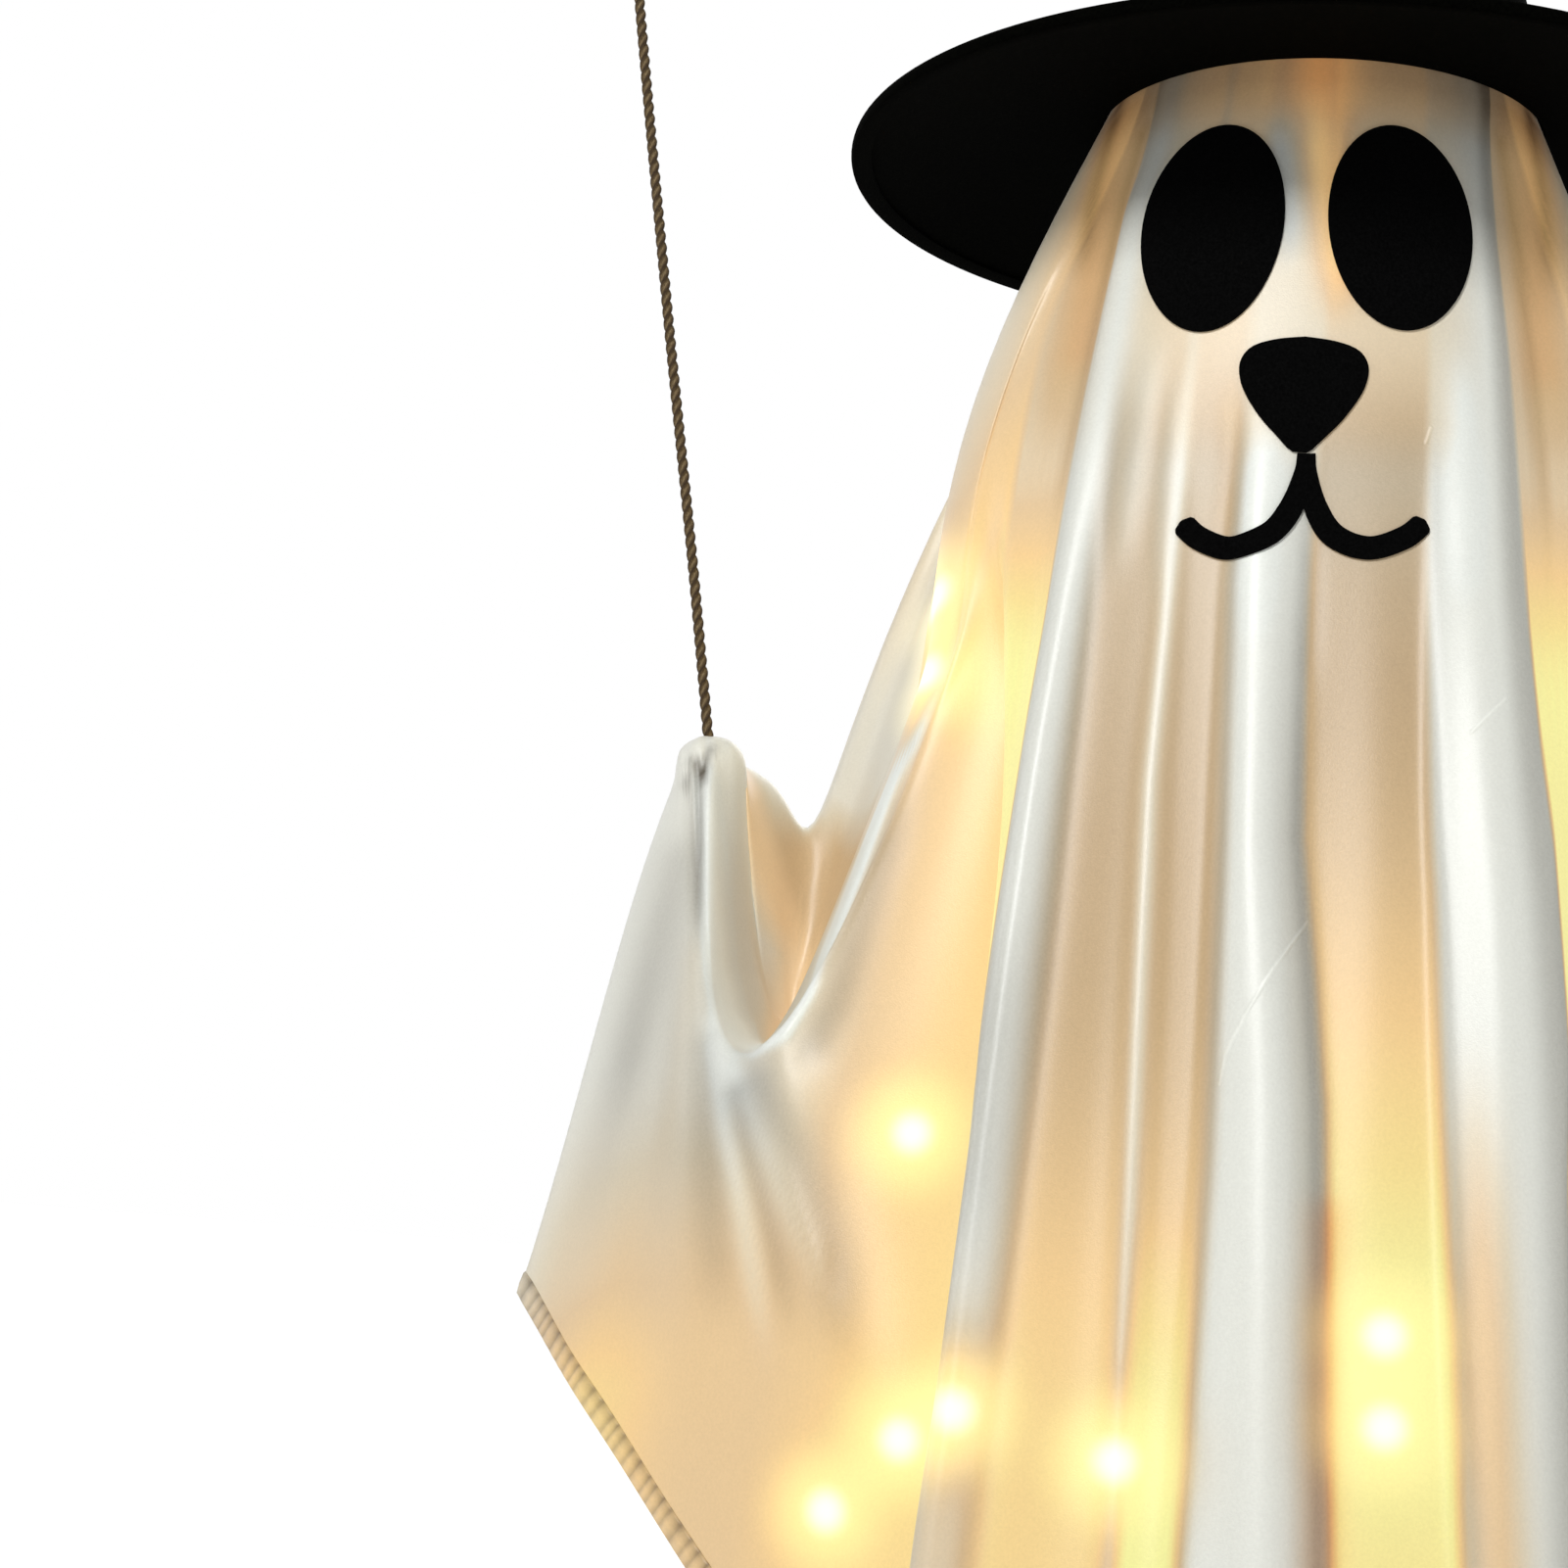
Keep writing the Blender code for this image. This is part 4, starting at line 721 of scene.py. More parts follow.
def from_line(flat, line):
    """Distance of each (x, z) point from a line, and how far along the line its nearest point is."""
    best = np.full(flat.shape[:2], 1e3)
    along = np.zeros(flat.shape[:2])
    total = sum(math.dist(a, b) for a, b in zip(line, line[1:]))
    before = 0.0
    for a, b in zip(line, line[1:]):
        a, b = np.array(a), np.array(b)
        span = b - a
        share = np.clip(((flat - a) @ span) / (span @ span), 0, 1)
        away = np.linalg.norm(flat - (a + share[..., None] * span), axis=2)
        along = np.where(away < best, (before + share * np.linalg.norm(span)) / total, along)
        best = np.minimum(best, away)
        before += np.linalg.norm(span)
    return best, along


def soft_step(t):
    t = np.clip(t, 0, 1)
    return t * t * (3 - 2 * t)


def column_mask(test):
    return np.array([test(kind, back) for kind, _, _, back in COLUMNS])[:, None]


SIDES = np.array([side for _, side, _, _ in COLUMNS])[:, None]
IS_PANEL = column_mask(lambda kind, back: kind == "panel" and not back)
IS_SIDE = column_mask(lambda kind, back: kind != "panel" and not back)
IS_BACK_SIDE = column_mask(lambda kind, back: kind == "side" and back)
ROW_OF = np.array([-1.0] * HEAD_ROWS + ROWS)[None, :]


def unfolded(grid):
    """Every point as (x, z), with the right side mirrored onto the left one."""
    return grid[..., [0, 2]] * np.stack([-SIDES + 0 * grid[..., 0], 1 + 0 * grid[..., 0]], axis=2)


def draw_strokes(grid):
    """Raise the cloth along every stroke, and return the shade, warmth and amber that the strokes give."""
    shade, warm, amber = (np.zeros(grid.shape[:2]) for _ in range(3))
    plain, folded = grid[..., [0, 2]].copy(), unfolded(grid)
    outside = IS_SIDE & ((ROW_OF > CREST_END - 2.4) | (plain[..., 1] > 0.50))
    sets = ((SIDE_STROKES, folded, outside, 0.0), (FRONT_STROKES, plain, IS_PANEL, 0.3))
    for strokes, flat, where, start in sets:
        for line, width, lift, dark, heat in strokes.values():
            away, along = from_line(flat, line)
            near = np.exp(-(away / width)**2) * where * soft_step((1 - along) / 0.35)
            if start:
                near *= soft_step(along / start)
            grid[..., 1] -= near * lift
            shade += near * dark
            warm += near * heat
    for lines, flat, where in ((AMBER_FRONT, plain, IS_PANEL), (AMBER_SIDE, folded, outside)):
        for line, width, much in lines:
            amber += np.exp(-(from_line(flat, line)[0] / width)**2) * where * much
    return shade, warm, amber


# %% [markdown]
# Inside the cowl a tongue of cloth hangs from the hand, in front of the back of the sleeve. It is
# the same cloth, so it isn't a piece of its own: the back of the grid is pushed forward on the
# hand's side of the tongue's edge. Before that, the sides above the hands are smoothed, because
# columns that fan out from the head would otherwise cross a little and crease.

# %% The tongue, and the smooth cone above the hands
TONGUE_PUSH = 0.0070
TONGUE = [(-0.2330, 0.4460), (-0.2216, 0.4275), (-0.2148, 0.4065), (-0.2074, 0.3862), (-0.2009, 0.3727),
          (-0.1929, 0.3600)]


def inside_tongue(flat):
    """How far each point lies from the tongue's edge, towards the hand."""
    heights = [z for _, z in TONGUE][::-1]
    return np.interp(flat[..., 1], heights, [x for x, _ in TONGUE][::-1]) - flat[..., 0]


def hang_tongue(grid):
    flat = unfolded(grid)
    inward = inside_tongue(flat)
    rise = soft_step((inward + 0.0030) / 0.0100) * np.exp(-np.clip(inward - 0.004, 0, 1) / 0.020)
    fade = np.clip((flat[..., 1] - 0.345) / 0.030, 0, 1) * np.clip((0.449 - flat[..., 1]) / 0.020, 0, 1)
    where = IS_BACK_SIDE & (ROW_OF > 3.0) & (ROW_OF < CREST_END + 0.4)
    grid[..., 1] -= TONGUE_PUSH * rise * fade * where


def smooth_cone(grid, times):
    """Take the creases out of the sides above the hands, where the cloth hangs as one smooth cone."""
    loose = (1.0 - IS_PANEL) * np.ones(grid.shape[:2])
    for _ in range(times):
        weight = (loose * soft_step((grid[..., 2] - 0.490) / 0.05) * (ROW_OF >= 0))[..., None]
        beside = (np.roll(grid, 1, axis=0) + np.roll(grid, -1, axis=0)) / 2
        above = grid.copy()
        above[:, 1:-1] = (grid[:, :-2] + grid[:, 2:]) / 2
        grid += 0.6 * weight * ((beside + above) / 2 - grid)


grid = sheet_grid()
smooth_cone(grid, 30)
hang_tongue(grid)
shade, stroke_warmth, amber = draw_strokes(grid)
relax(grid, 1)
print("strokes drawn:", len(SIDE_STROKES) + len(FRONT_STROKES))


# %% Sheet: from the grid to a mesh
def make_sheet():
    points = [HEAD_CENTRE + Vector((0, 0, SHEET_RADIUS))] + [Vector(p) for p in grid.reshape(-1, 3)]
    count, rows = grid.shape[:2]
    faces = []
    for c in range(count):
        here, there = 1 + c * rows, 1 + (c + 1) % count * rows
        faces.append((0, there, here))
        faces += [(here + r, there + r, there + r + 1, here + r + 1) for r in range(rows - 1)]
    piece = mesh_piece("sheet_cloth", points, faces)
    piece.data.shade_smooth()
    return piece


sheet = make_sheet()

# %% [markdown]
# Satin: a smooth white weave with a soft sheen. Where lamps hang behind one layer of it the cloth
# glows from peach to yellow, and where it is folded it stays white. Light traced through the cloth
# would be slow and noisy, so the warmth and the shade of each place are worked out on the mesh, as
# attributes, and the small bright spots come from the distance to the place in front of each lamp.

# %% Warmth of the cloth
PLAIN_SHADE = 0.06
POOL_REACH = 0.021
# Where the cloth lies in front of a lamp
POOLS = [Vector(p) for p in ((-0.1542, -0.1064, 0.1399), (-0.1277, -0.1146, 0.1689), (-0.1043, -0.1619, 0.1835),
                             (-0.0459, -0.1656, 0.1712), (0.0462, -0.1637, 0.1906), (0.0449, -0.1583, 0.2219),
                             (-0.1336, -0.0934, 0.2827), (-0.1455, -0.0529, 0.4700), (-0.1438, -0.0300, 0.5034))]

# Warmth of the side by its share of the way to the hand, above and below the cowl's foot, and
# warmth of the front's lit strip and of the cloth left of its broad fold by height
SIDE_HIGH = [(0.0, 0.66), (0.15, 0.60), (0.30, 0.42), (0.45, 0.24), (0.70, 0.10), (1.0, 0.03)]
SIDE_LOW = [(0.0, 0.72), (0.20, 0.62), (0.40, 0.44), (0.60, 0.42), (0.78, 0.42), (0.90, 0.30), (1.0, 0.08)]
STRIP = [(0.14, 0.86), (0.22, 1.0), (0.276, 0.80), (0.33, 0.60), (0.395, 0.45), (0.50, 0.34), (0.60, 0.10)]
LEFT_ZONE = [(0.14, 0.66), (0.22, 0.60), (0.30, 0.46), (0.40, 0.38), (0.52, 0.32), (0.60, 0.12)]


def panel_warmth(across, height):
    valley, band = step_up(height, VALLEY), step_up(height, BAND_START)
    thin, fold = step_up(height, THIN_RIDGE), step_up(height, FOLD_LINE)
    strip = plateau(across, valley + 0.037, 0.05, band, 0.06) * step_up(height, STRIP)
    left = plateau(across, -0.80, 0.16, fold, 0.10) * (1 - 0.7 * bump(across, thin, 0.03))
    inner = plateau(across, thin, 0.05, fold, 0.06) * step_up(height, [(0.14, 0.40), (0.20, 0.25), (0.26, 0.0)])
    dip = 0.30 * bump(across, valley + 0.027, 0.022) * ease((0.58 - height) / 0.08)
    edge = 0.26 * bump(across, -0.90, 0.12) * ease((0.26 - height) / 0.10)
    face = 0.16 * ease((height - 0.54) / 0.03) * (1 - bump(across, -0.85, 0.2)) * (1 - bump(across, 0.9, 0.2))
    face += 0.12 * ease((height - 0.688) / 0.018)
    face += 0.40 * bump(across, band + 0.10, 0.09) * ease((0.34 - height) / 0.10)
    return strip + left * step_up(height, LEFT_ZONE) + inner + dip + edge + face + 0.02


def panel_shade(across, height):
    valley, band, fold = step_up(height, VALLEY), step_up(height, BAND_START), step_up(height, FOLD_LINE)
    dip = 0.50 * bump(across, valley - 0.004, 0.040) + 0.13 * bump(across, valley - 0.075, 0.045)
    dip *= mix(1.0, 0.55, ease((height - 0.42) / 0.10))
    line = 0.20 * bump(across, fold + 0.005, 0.022) + 0.16 * bump(across, -0.80, 0.05)
    line += 0.18 * bump(across, band + 0.030, 0.030)
    left = 0.30 * plateau(across, -0.82, 0.14, fold, 0.10) * ease((height - 0.20) / 0.15)
    left *= 1 - 1.0 * bump(across, step_up(height, THIN_RIDGE), 0.035)
    strip = 0.32 * plateau(across, valley + 0.037, 0.05, band, 0.06) * ease((height - 0.30) / 0.16)
    bands = 0.36 * ease((across - 0.84) / 0.12) + 0.16 * bump(across, -1.0, 0.06) + 0.05
    bands += 0.20 * bump(across, -0.93, 0.09) * ease((0.385 - height) / 0.07) * ease((height - 0.215) / 0.06)
    return (dip + line) * ease((0.60 - height) / 0.08) + (left + strip) * ease((0.61 - height) / 0.06) + bands


def side_warmth(share, height):
    value = mix(step_up(share, SIDE_HIGH), step_up(share, SIDE_LOW), ease((0.31 - height) / 0.11))
    value *= 1 - 0.45 * ease((height - 0.52) / 0.09)
    return value + 0.25 * bump(share, 0.75, 0.16) * ease((0.22 - height) / 0.05)


def warmth(c, place, row, inward):
    """Warmth and shade of one point; inward is its distance from the tongue's edge."""
    kind, side, share, back = COLUMNS[c]
    if kind == "panel":
        if back:
            folded = sum(bump(side * share, middle, width * 0.9) for middle, width, size in BACK_RIDGES)
            return mix(0.55, 0.08, ease(place.z / 0.6)) * (1 - 0.85 * min(folded, 1.0)), 0.0
        return panel_warmth(side * share, place.z), panel_shade(side * share, place.z)
    if kind == "pleat":
        return mix(0.28, 0.95, ease((0.56 - place.z) / 0.10)), 0.10 * ease((place.z - 0.54) / 0.05)
    outer = side_warmth(share, place.z) * (0.7 if back else 1.0)
    hollow = ease((CREST_END - (0.2 if back else 2.2) - row) / 0.6) * ease((0.500 - place.z) / 0.03)
    # The front of the sleeve gets painted shade.
    sleeve = 0.20 * ease((share - 0.45) / 0.20) * ease((0.97 - share) / 0.10)
    sleeve *= ease((place.z - 0.215) / 0.07) * ease((0.445 - place.z) / 0.02) * (0.0 if back else 1.0)
    if hollow <= 0.0:
        return outer, sleeve
    on_tongue = ease((inward + 0.004) / 0.008)
    warm = mix(0.42, mix(0.40, 0.04, ease((inward - 0.006) / 0.018)), on_tongue)
    dark = mix(0.24, mix(-0.06, 0.10, ease((inward - 0.010) / 0.010)), on_tongue)
    high = ease((place.z - 0.402) / 0.030) * ease((-inward + 0.004) / 0.008)
    high *= ease(((0.530 if back else 0.470) - place.z) / 0.030)
    warm, dark = mix(warm, 0.10, high), mix(dark, 0.06, high)
    return mix(outer, warm, hollow), mix(sleeve, dark, hollow)


def paint_warmth(piece):
    warm = np.zeros(grid.shape[:2])
    dark = np.zeros(grid.shape[:2])
    inward = inside_tongue(unfolded(grid))
    for c in range(grid.shape[0]):
        for r in range(grid.shape[1]):
            warm[c, r], dark[c, r] = warmth(c, Vector(grid[c, r]), ROW_OF[0, r], inward[c, r])
    for pool in POOLS:
        near = np.exp(-(np.linalg.norm(grid - np.array(pool), axis=2) / POOL_REACH)**2)
        warm = warm * (1 - 0.85 * near) + 0.95 * 0.85 * near
        dark *= 1 - 0.9 * near
    warm += stroke_warmth
    dark += shade + PLAIN_SHADE
    brim_shade = soft_step((grid[..., 2] - 0.686) / 0.034) * (grid[..., 1] < 0)
    dark += 0.42 * brim_shade * (1 - 0.95 * np.exp(-((grid[..., 0] + 0.001) / 0.015)**2))
    amber[:] += 0.22 * brim_shade
    for name, values in (("warmth", warm), ("shade", dark), ("amber", amber)):
        values = np.clip(values, 0, 1)
        attribute = piece.data.attributes.new(name, "FLOAT", "POINT")
        attribute.data.foreach_set("value", np.concatenate([[0.0], values.reshape(-1)]))
    return np.clip(warm, 0, 1), np.clip(dark, 0, 1)


sheet_warmth, sheet_shade = paint_warmth(sheet)
print("mean warmth:", round(float(sheet_warmth.mean()), 2), "mean shade:", round(float(sheet_shade.mean()), 2))


# %% [markdown]
# The satin's colour follows the warmth, from white to yellow, and the shade darkens it. The lamps'
# spots, the creases and the weave come on top.

# %% Satin finish
def chip(red, green, blue, strength=1.0):
    """A colour as a paint chart gives it, from 0 to 255, for Blender's linear sockets."""
    return tuple(strength * ((v / 255 + 0.055) / 1.055)**2.4 for v in (red, green, blue))


# Warmth, the colour that the cloth shows there, and the share of it that shines through
TONES = [(0.00, (238, 241, 234), 0.03), (0.20, (232, 219, 192), 0.10), (0.40, (234, 203, 158), 0.26),
         (0.60, (253, 214, 150), 0.46), (0.80, (254, 229, 150), 0.62), (1.00, (255, 252, 165), 0.76)]
# Fine creases that the cloth keeps, as lines of (x, z) on the front
CREASES = [[(0.0109, 0.3685), (-0.0010, 0.3480), (-0.0100, 0.3310), (-0.0160, 0.3170), (-0.0175, 0.3060)],
           [(0.0797, 0.4588), (0.0672, 0.4443)], [(0.0482, 0.5665), (0.0465, 0.5600)]]
CREASE_WIDTH = 0.0011
AMBER_TINT = (1.0, 0.54, 0.26)
SHADE_TINT = (0.10, 0.08, 0.055)
# The light of a lamp on the cloth, from wide to narrow: reach, level and colour
SPOTS = [(0.036, 0.55, (1.0, 0.86, 0.34)), (0.0130, 1.0, (1.0, 0.98, 0.86))]
DEPTH_COUNTS = 0.15          # how much of its depth counts in the distance to a lamp

satin = Finish("white satin", chip(228, 231, 224), 0.38, Specular_IOR_Level=0.5, Sheen_Weight=0.10)


def reading(name):
    return satin.node("ShaderNodeAttribute", attribute_name=name, attribute_type="GEOMETRY").outputs["Fac"]


def vector(operation, a, b, output="Vector"):
    return satin.node("ShaderNodeVectorMath", {0: a, 1: b}, operation=operation).outputs[output]


def tinted(tone, share, tint):
    """The tone, multiplied by the tint where the share is 1."""
    made = satin.node("ShaderNodeMix", {"Factor": share}, data_type="RGBA", blend_type="MULTIPLY")
    satin.tree.links.new(tone, made.inputs["A"])
    made.inputs["B"].default_value = (*tint, 1.0)
    return made.outputs["Result"]


def glow(reach, level):
    """A soft round light at every pool, on the cloth that lies in front of its lamp."""
    total = 0.0
    nearer = vector("MULTIPLY", satin.place, (1.0, DEPTH_COUNTS, 1.0))
    for place in POOLS:
        away = vector("DISTANCE", nearer, (place.x, DEPTH_COUNTS * place.y, place.z), "Value")
        near = satin.node("ShaderNodeMapRange", {0: away, 1: reach, 2: 0.0, 3: 0.0, 4: level},
                          interpolation_type="SMOOTHERSTEP").outputs[0]
        total = satin.math("ADD", near, total)
    return total


def crease_lines():
    """How near a place on the front is to a crease: 1 on it and 0 beside it."""
    seen = satin.node("ShaderNodeSeparateXYZ", {0: satin.place}).outputs
    flat = satin.node("ShaderNodeCombineXYZ", {0: seen[0], 2: seen[2]}).outputs[0]
    nearest = 1.0
    for line in CREASES:
        for (x0, z0), (x1, z1) in zip(line, line[1:]):
            span = (x1 - x0, 0.0, z1 - z0)
            off = vector("SUBTRACT", flat, (x0, 0.0, z0))
            along = satin.math("DIVIDE", vector("DOT_PRODUCT", off, span, "Value"), span[0]**2 + span[2]**2)
            along = satin.node("ShaderNodeClamp", {0: along}).outputs[0]
            foot = satin.node("ShaderNodeVectorMath", {0: span, "Scale": along}, operation="SCALE").outputs[0]
            nearest = satin.math("MINIMUM", vector("DISTANCE", off, foot, "Value"), nearest)
    line = satin.node("ShaderNodeMapRange", {0: nearest, 1: CREASE_WIDTH, 2: 0.0, 3: 0.0, 4: 1.0},
                      interpolation_type="SMOOTHSTEP").outputs[0]
    return satin.math("MULTIPLY", line, satin.math("LESS_THAN", seen[1], -0.05))


warm, dark, amber_share = reading("warmth"), reading("shade"), reading("amber")
speckle = satin.noise(900.0, 2.0)
crease = crease_lines()
uneven = satin.node("ShaderNodeMapRange", {0: speckle, 1: 0.25, 2: 0.75, 3: 0.07, 4: 0.0}).outputs[0]
# Noise varies the shade a little. Along each crease the shade is lowered, which is a painted highlight.
dark = satin.math("ADD", dark, satin.math("SUBTRACT", uneven, satin.math("MULTIPLY", crease, 0.10)))
shaded = {}
for side in (0, 1):
    tone = satin.ramp(warm, [(w, chip(*colour, through if side else 1 - through)) for w, colour, through in TONES])
    shaded[side] = tinted(tinted(tone, amber_share, AMBER_TINT), dark, SHADE_TINT)
satin.colour(shaded[0])
shine = shaded[1]
for reach, level, light in SPOTS:
    made = satin.node("ShaderNodeMix", {"Factor": glow(reach, level)}, data_type="RGBA")
    satin.tree.links.new(shine, made.inputs["A"])
    made.inputs["B"].default_value = (*light, 1.0)
    shine = made.outputs["Result"]
satin.link(shine, "Emission Color")
satin.shader.inputs["Emission Strength"].default_value = 1.0
height = satin.math("ADD", satin.noise(1600.0, 2.0), satin.math("MULTIPLY", crease, 3.0))
SATIN = satin.raise_by(height, 0.00012, 0.5)


# %% Finish the sheet
def finish_sheet():
    wall = sheet.modifiers.new("Cloth", "SOLIDIFY")
    wall.thickness = SATIN_THICKNESS
    wall.offset = 0.0
    pick(sheet)
    bpy.ops.object.modifier_apply(modifier="Cloth")
    seat(sheet, SATIN, "white_satin", "sheet")


# %% [markdown]
# The hem is the edge turned over twice and stitched, and the stitches pucker it into small ribs.
# It is a band of its own, wrapped round the sheet's edge in even steps, whose thickness rises
# and falls once in every seven millimetres or so.

# %% Hem
HEM_WIDTH = 0.0100
RIB_PITCH = 0.0066
HEM_STEP = 0.0009


def make_hem():
    edge, above = grid[:, -1], grid[:, -3]
    count = len(edge)
    steps = np.linalg.norm(np.roll(edge, -1, axis=0) - edge, axis=1)
    along = np.concatenate([[0.0], np.cumsum(steps)])
    total = along[-1]
    ribs = round(total / RIB_PITCH)
    samples = round(total / HEM_STEP)
    where = np.linspace(0, total, samples, endpoint=False)
    ring = np.concatenate([edge, edge[:1]])
    lifted = np.concatenate([above, above[:1]])
    where_on = {}
    for name, values in (("warmth", sheet_warmth), ("shade", sheet_shade)):
        last = values[:, -4]
        where_on[name] = np.interp(where, along, np.concatenate([last, last[:1]]))
    line = np.stack([np.interp(where, along, ring[:, axis]) for axis in range(3)], axis=1)
    higher = np.stack([np.interp(where, along, lifted[:, axis]) for axis in range(3)], axis=1)
    ahead = np.roll(line, -2, axis=0) - np.roll(line, 2, axis=0)
    ahead /= np.linalg.norm(ahead, axis=1, keepdims=True)
    up = higher - line
    up -= ahead * np.sum(up * ahead, axis=1, keepdims=True)
    up /= np.linalg.norm(up, axis=1, keepdims=True)
    out = np.cross(up, ahead)
    phase = 2 * PI * ribs * where / total
    rib = (np.abs(np.sin(phase / 2 + 0.5 * np.sin(phase * 0.19) + 0.3 * np.sin(phase * 0.43)))**0.7)[:, None]
    thick = 0.0003 + 0.0007 * rib
    section = [(1.0, 0.0005, 0.0), (0.92, 0.0006, 0.7), (0.5, 0.0006, 1.0), (0.08, 0.0006, 0.7), (-0.02, 0.0, 0.0),
               (0.08, -0.0006, -0.7), (0.5, -0.0006, -1.0), (0.92, -0.0006, -0.7), (1.0, -0.0005, 0.0)]
    rings = []
    for rise, off, swell in section:
        rings.append(line + up * (HEM_WIDTH * rise - 0.0008) + out * (off + swell * thick))
    points = np.stack(rings, axis=1).reshape(-1, 3)
    wide = len(section)
    faces = []
    for k in range(samples):
        here, there = k * wide, (k + 1) % samples * wide
        for j in range(wide):
            after = (j + 1) % wide
            faces.append((here + j, here + after, there + after, there + j))
    piece = mesh_piece("sheet_hem", points, faces)
    piece.data.shade_smooth()
    tidy = bmesh.new()
    tidy.from_mesh(piece.data)
    bmesh.ops.recalc_face_normals(tidy, faces=tidy.faces)
    tidy.to_mesh(piece.data)
    tidy.free()
    # Painted shade: the hem's top edge, where it meets the sheet, and the grooves between its ribs are darker.
    seam_shade = np.array([0.30 if rise > 0.9 else 0.0 for rise, _, _ in section])
    shade = (where_on["shade"] + 0.40 * (1 - rib[:, 0]))[:, None] + seam_shade[None, :] + 0.06
    warm = np.repeat(where_on["warmth"] * 0.9 + 0.10, wide)
    for name, values in (("warmth", warm), ("shade", shade.reshape(-1)), ("amber", warm * 0)):
        attribute = piece.data.attributes.new(name, "FLOAT", "POINT")
        attribute.data.foreach_set("value", np.clip(values, 0, 1))
    print("hem length, m:", round(float(total), 3), "ribs:", ribs)
    return piece


hem = make_hem()
seat(hem, SATIN, "white_satin")

# %% Keep the thin surface, to lay the face on
surface = sheet.copy()
surface.data = sheet.data.copy()
surface.name = "sheet_surface"
bpy.context.scene.collection.objects.link(surface)
finish_sheet()

# %% [markdown]
# The face is cut from black felt and glued on. Each patch starts as a small circle whose edge is
# extruded outwards ring by ring, is moved onto its outline, laid on the cloth with a
# Shrinkwrap, and given the felt's thickness.

# %% Felt finish
felt = Finish("black felt", (0.002, 0.002, 0.002), 0.95, Specular_IOR_Level=0.02)
felt.colour(felt.ramp(felt.noise(900.0, 4.0), [(0.3, (0.0008, 0.0008, 0.0008)), (0.75, (0.003, 0.003, 0.003))]))
FELT = felt.raise_by(felt.noise(1400.0, 3.0), 0.0002, 0.5)

# %% Felt patches
FELT_THICKNESS = 0.0010
FELT_LIFT = 0.0004
# Each eye: side, place of its middle (x, z), half width, half height, slant
EYES = {"eye_left": (-1, -0.0399, 0.6474, 0.0279, 0.0446, 0.12),
        "eye_right": (1, 0.0326, 0.6490, 0.0280, 0.0430, 0.19)}
NOSE_MIDDLE, MOUTH_MIDDLE = -0.0014, 0.0012
NOSE_HALF = [(0.0, 0.6006), (0.0113, 0.5992), (0.0200, 0.5962), (0.0240, 0.5912), (0.0246, 0.5855),
             (0.0225, 0.5780), (0.0160, 0.5672), (0.0090, 0.5590), (0.0050, 0.5545), (0.0036, 0.5528)]
NOSE_MIDDLE_HEIGHT = 0.5830
MOUTH_LINE = [(0.0000, 0.5522), (0.0008, 0.5445), (0.0048, 0.5300), (0.0125, 0.5188), (0.0255, 0.5140),
              (0.0385, 0.5185), (0.0462, 0.5255)]
MOUTH_HALF_WIDTH = 0.0046
MOUTH_TILT = 0.05            # the mouth's right end lies a little higher
IN_FRONT = -0.30             # where a patch is cut out, before it is laid on the cloth


def lay_on_cloth(piece):
    wrap = piece.modifiers.new("Lay", "SHRINKWRAP")
    wrap.target = surface
    wrap.wrap_method = "PROJECT"
    wrap.wrap_mode = "ABOVE_SURFACE"
    wrap.use_project_y = True
    wrap.use_positive_direction = True
    wrap.use_negative_direction = False
    wrap.offset = FELT_LIFT + SATIN_THICKNESS / 2
    thick = piece.modifiers.new("Felt", "SOLIDIFY")
    thick.thickness = FELT_THICKNESS
    thick.offset = 1.0
    pick(piece)
    bpy.ops.object.modifier_apply(modifier="Lay")
    bpy.ops.object.modifier_apply(modifier="Felt")
    piece.data.shade_smooth()
    bpy.ops.object.shade_smooth_by_angle(angle=math.radians(50))
    return piece


def patch(name, outline, centre, rings=9):
    """A disc of rings, moved onto the outline: the outline runs the way that the circle does."""
    count = len(outline)
    deselect()
    bpy.ops.mesh.primitive_circle_add(vertices=count, radius=1.0 / rings, fill_type="TRIFAN",
                                      location=(centre[0], IN_FRONT, centre[1]), rotation=(PI / 2, 0, 0))
    piece = bpy.context.object
    piece.name = name
    bpy.ops.object.transform_apply(location=True, rotation=True, scale=True)
    for ring in range(2, rings + 1):
        bpy.ops.object.mode_set(mode="EDIT")
        bpy.ops.mesh.select_all(action="DESELECT")
        bpy.ops.mesh.select_mode(type="EDGE")
        bpy.ops.mesh.select_non_manifold()
        bpy.ops.mesh.extrude_edges_move(MESH_OT_extrude_edges_indiv={},
                                        TRANSFORM_OT_translate={"value": (0, 0, 0)})
        bpy.ops.transform.resize(value=(ring / (ring - 1),) * 3,
                                 center_override=(centre[0], IN_FRONT, centre[1]))
        bpy.ops.object.mode_set(mode="OBJECT")
    for corner in piece.data.vertices:
        x, z = corner.co.x - centre[0], corner.co.z - centre[1]
        share = math.hypot(x, z)
        turn = math.atan2(z, x) / (2 * PI) * count
        edge = outline[round(turn) % count]
        corner.co = (mix(centre[0], edge[0], share), IN_FRONT, mix(centre[1], edge[1], share))
    piece.data.update()
    return piece


def eye_outline(side, x, z, half_width, half_height, slant, count=72):
    outline = []
    for k in range(count):
        angle = 2 * PI * k / count
        across = half_width * math.cos(angle) * (1 + 0.03 * math.sin(angle))
        outline.append((x + across, z + half_height * math.sin(angle) - slant * side * across))
    return outline


def by_angle(points, centre, count=72):
    """The outline's points in even steps of direction from its centre."""
    angles = np.unwrap([math.atan2(z - centre[1], x - centre[0]) for x, z in points])
    order = np.argsort(angles)
    spread = np.array(angles)[order]
    spread = np.concatenate([spread - 2 * PI, spread, spread + 2 * PI])
    xs = np.tile(np.array([p[0] for p in points])[order], 3)
    zs = np.tile(np.array([p[1] for p in points])[order], 3)
    made = []
    for k in range(count):
        angle = 2 * PI * k / count
        made.append((float(np.interp(angle, spread, xs)), float(np.interp(angle, spread, zs))))
    return made


